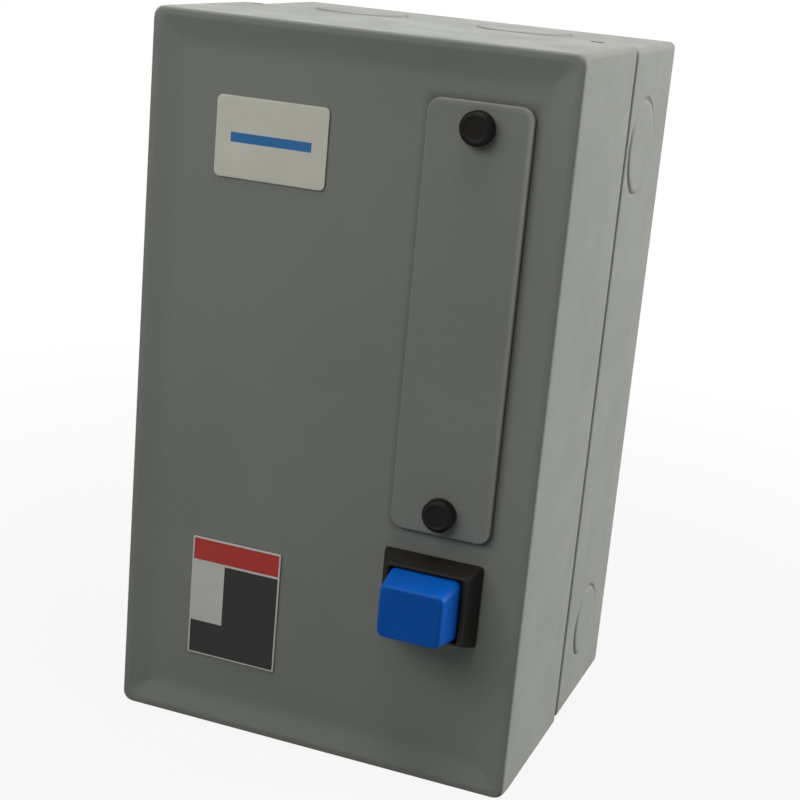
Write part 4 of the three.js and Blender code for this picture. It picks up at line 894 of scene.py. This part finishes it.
def screwParts(head, rise, reach, seat, middle, turn):
    slotHalf, shank, dome = head * screws["slotWidth"], screws["shank"], screws["domeShare"]
    below = np.linspace(-head, -slotHalf, 9)
    rows = np.concatenate([below, [-slotHalf, slotHalf], -below[::-1]])
    inSlot = np.isin(np.arange(len(rows)), (9, 10))
    share = np.sin(np.linspace(-math.pi / 2, math.pi / 2, 15))
    v = rows[:, None] + 0 * share
    u = np.sqrt(np.maximum(head ** 2 - rows ** 2, 0))[:, None] * share
    away = np.hypot(u, v) / head
    bulge = np.maximum(1 - away ** 2, 0) ** 0.6
    raised = rise * np.where(away > 0.999, screws["rimShare"], dome + (1 - dome) * bulge)
    top = np.where(inSlot[:, None], rise * screws["slotFloor"], raised)
    c, s = math.cos(turn), math.sin(turn)
    upper, lower = (np.stack([middle[0] + c * u - s * v, seat - height + 0 * u, middle[-1] + s * u + c * v], -1)
                    for height in (top, 0))
    parts = [gridPart(upper), gridPart(lower), gridPart(np.stack([upper[:, 0], lower[:, 0]])),
             gridPart(np.stack([upper[:, -1], lower[:, -1]]))]
    threads = np.arange(seat + 0.4, seat + reach - 0.8, screws["thread"])
    wave = shank - screws["threadDepth"] * (np.arange(len(threads)) % 2)
    profile = [(0, seat - 0.01), (shank, seat - 0.01), *zip(wave, threads),
               (shank - screws["chamfer"], seat + reach), (0, seat + reach)]
    return parts + [turnedPart(profile, middle, 20)]


def makeScrew(node, finish, turn):
    low, high, half, middle = sizesOf(node)
    rise = screws["groundRise" if node == "ground_screw" else "rise"]
    seat = low[1] + rise
    parts = screwParts(half[0], rise, high[1] - seat, seat, middle, turn)
    makePiece(camelName(node), parts, "base", [node], finishes[finish], sharp=38)


# The cover screw points up, so its points are made along Y and then stood up.
def makeCoverScrew():
    low, high, _, middle = sizesOf("cover_screw")
    head, rise, turn = screws["coverHead"], screws["coverRise"], screws["coverTurn"]
    seat = low[2] + rise
    parts = screwParts(head, rise, high[2] - seat, seat, (0, 0), turn)
    parts = [(np.stack([p[:, 0] + middle[0], middle[1] - p[:, 2], p[:, 1]], -1), f) for p, f in parts]
    makePiece("coverScrew", parts, "base", ["cover_screw"], finishes["zincPlate"], sharp=38)


# The winding: a rounded square carried along Y, its size rippling once for each turn of wire.
winding = {"pitch": 0.9, "ripple": 0.35, "corner": 6.0, "opening": (8.7, 10.7), "openingCorner": 0.5}


def makeWinding():
    low, high, half, middle = sizesOf("coil_winding")
    turns = int((high[1] - low[1]) / winding["pitch"])
    t = np.linspace(0, 1, turns * 6 + 1)
    swell = winding["ripple"] * (abs(np.sin(math.pi * turns * t)) - 1)
    y = low[1] + t * (high[1] - low[1])
    outer = np.stack([half[0] + swell, half[2] + swell, winding["corner"] + swell, y], -1)
    inner = [(*winding["opening"], winding["openingCorner"], end) for end in (high[1], low[1])]
    surface = ringSurface(np.vstack([outer, inner]), middle)
    makePiece("coilWinding", [gridPart(surface, closeRows=True, closeCols=True)], "base", ["coil_winding"],
              finishes["windingWire"])


# The control wire leaves the auxiliary block downwards and turns into the relay.
controlWire = {"radius": 1.25, "bend": 6.5}


def makeControlWire():
    low, high, _, middle = sizesOf("control_wire")
    radius = controlWire["radius"]
    x, y, z = low[0] + radius, middle[1], low[2] + radius
    line = softened([(x, y, high[2]), (x, y, z), (high[0], y, z)], controlWire["bend"], 12)
    makePiece("controlWire", tubeParts(line, radius, 16, (0, 1, 0)), "base", ["control_wire"],
              finishes["wireCover"])


# What keeps its CAD shape: each node's finish, and how far its edges are softened.
kept = {
    "cover_screw_nut": ("zincPlate", 0.3), "reset_cage": ("blackPlastic", 0.3),
    "mounting_plate": ("zincPlate", 0.3), "contactor_base": ("darkMoulding", 0.6),
    "magnet_core": ("laminations", 0.2), "coil_bobbin": ("darkMoulding", 0.25),
    "arc_chamber": ("paleMoulding", 0.45), "arc_cover": ("darkMoulding", 0.6),
    "auxiliary_block": ("paleMoulding", 0.6), "relay_base": ("darkMoulding", 0.6),
    "relay_cover": ("paleMoulding", 0.6), "armature": ("laminations", 0.2), "crossbar": ("blackPlastic", 0.35),
    "trip_bar": ("blackPlastic", 0.25), "reset_plunger": ("redPlastic", 0.3),
    "trip_dial": ("whitePlastic", 0.25)}
renamed = {"armature": "armaturePart", "crossbar": "contactCrossbar"}
for number in "123":
    kept["line_terminal_" + number] = ("silverPlate", 0.3)
    kept["load_strip_" + number] = ("copper", 0.3)
    kept["heater_" + number] = ("resistanceStrip", 0.25)
    kept["contact_bridge_" + number] = ("silverPlate", 0.25)
    renamed["heater_" + number] = "heaterStrip" + number
for node, (finish, bevel) in kept.items():
    softCopy(node, renamed.get(node, camelName(node)), finishes[finish], bevel)

makeSpring("reset_spring", resetSpring)
for end, turn in (("upper", 0.3), ("lower", 2.1)):
    makeSpring("return_spring_" + end, returnSpring)
    makeScrew("plate_screw_" + end, "zincPlate", turn)
makeScrew("ground_screw", "greenPlate", 1.1)
for number in "123":
    turn = 0.7 * int(number)
    makeSpring("contact_spring_" + number, contactSpring)
    makeScrew("line_screw_" + number, "zincPlate", turn)
    makeScrew("strip_screw_" + number, "zincPlate", turn + 0.4)
    makeScrew("load_screw_" + number, "brass", turn + 1.3)
makeCoverScrew()
makeWinding()
makeControlWire()
print("inner pieces made")


stage = {"reach": 6.0, "below": 0.0003, "floorColor": (0.2, 0.21, 0.215, 1), "floorWhite": 0.92,
         "fade": (0.2, 0.5), "worldLight": 0.028}
lamps = {
    "overhead": {"place": (0.1, -0.17, 1.2), "aim": (0, -0.06, 0.05), "size": (0.8, 0.5), "power": 7.2},
    "rightSide": {"place": (1.3, 0.6, 0.55), "aim": (0, -0.06, 0), "size": (0.7, 0.8), "power": 22.8},
    "frontFill": {"place": (-0.3, -0.68, 0.48), "aim": (-0.02, -0.125, 0.04), "size": (0.8, 0.4),
                  "power": 2.75},
    "rearFill": {"place": (-0.7, 1.4, 0.6), "aim": (0, -0.06, 0), "size": (1.2, 1.0), "power": 5.0}}
camera = {"place": (0.2017, -0.6215, 0.162), "ahead": (-0.3235, 0.9039, -0.2798),
          "up": (-0.1791, 0.2319, 0.9561), "lens": 75.6, "sensor": 36.0, "nearest": 0.01}


# One for rays that show the background: those of the camera, of glossy reflections and through glass.
def backgroundRays(tree):
    path = addNode(tree, "LightPath")
    seen = path.outputs["Is Camera Ray"]
    for kind in ("Is Glossy Ray", "Is Transmission Ray"):
        seen = calculate(tree, "MAXIMUM", seen, path.outputs[kind])
    return seen


# A pale diffuse floor. Background rays see it turn white away from the object.
def makeFloor():
    reach, z = stage["reach"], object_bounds()[0][2] - stage["below"]
    mesh = bpy.data.meshes.new("floor")
    corners = [(-reach, -reach, z), (reach, -reach, z), (reach, reach, z), (-reach, reach, z)]
    mesh.from_pydata(corners, [], [(0, 1, 2, 3)])
    floor = addObject("floor", mesh)
    material = bpy.data.materials.new("paleFloor")
    material.use_nodes = True
    tree = material.node_tree
    tree.nodes.remove(next(n for n in tree.nodes if n.type == "BSDF_PRINCIPLED"))
    out = next(n for n in tree.nodes if n.type == "OUTPUT_MATERIAL")
    plain = addNode(tree, "BsdfDiffuse", {"Color": stage["floorColor"]})
    white = addNode(tree, "Emission", {"Color": (1, 1, 1, 1), "Strength": 1.0})
    where = addNode(tree, "TexCoord").outputs["Object"]
    away = addNode(tree, "VectorMath", {0: where}, operation="LENGTH").outputs["Value"]
    fade = remap(tree, away, *stage["fade"], stage["floorWhite"], 1.0)
    share = calculate(tree, "MULTIPLY", backgroundRays(tree), fade)
    mix = addNode(tree, "MixShader", {0: share, 1: plain.outputs[0], 2: white.outputs[0]})
    tree.links.new(mix.outputs[0], out.inputs["Surface"])
    mesh.materials.append(material)


# The world is white to the camera and in reflections, and dimmer as a light.
def makeWorld():
    world = bpy.data.worlds.new("studio")
    bpy.context.scene.world = world
    world.use_nodes = True
    tree = world.node_tree
    back = next(n for n in tree.nodes if n.type == "BACKGROUND")
    back.inputs["Color"].default_value = (1, 1, 1, 1)
    strength = remap(tree, backgroundRays(tree), 0.0, 1.0, stage["worldLight"], 1.0)
    tree.links.new(strength, back.inputs["Strength"])


def aimed(place, aim):
    return (Vector(aim) - Vector(place)).to_track_quat("-Z", "Y").to_matrix().to_4x4()


def makeLamps():
    for name, lamp in lamps.items():
        data = bpy.data.lights.new(name, "AREA")
        data.shape = "RECTANGLE"
        data.size, data.size_y = lamp["size"]
        data.energy = lamp["power"]
        light = addObject(name, data)
        light.matrix_world = Matrix.Translation(lamp["place"]) @ aimed(lamp["place"], lamp["aim"])


def makeCamera():
    data = bpy.data.cameras.new("camera")
    data.lens, data.sensor_width, data.clip_start = camera["lens"], camera["sensor"], camera["nearest"]
    view = addObject("camera", data)
    ahead = Vector(camera["ahead"]).normalized()
    right = ahead.cross(Vector(camera["up"])).normalized()
    up = right.cross(ahead)
    view.matrix_world = Matrix.Translation(camera["place"]) @ Matrix([right, up, -ahead]).transposed().to_4x4()
    bpy.context.scene.camera = view


makeFloor()
makeWorld()
makeLamps()
makeCamera()
bpy.context.scene.view_settings.view_transform = "Standard"
print("stage made")
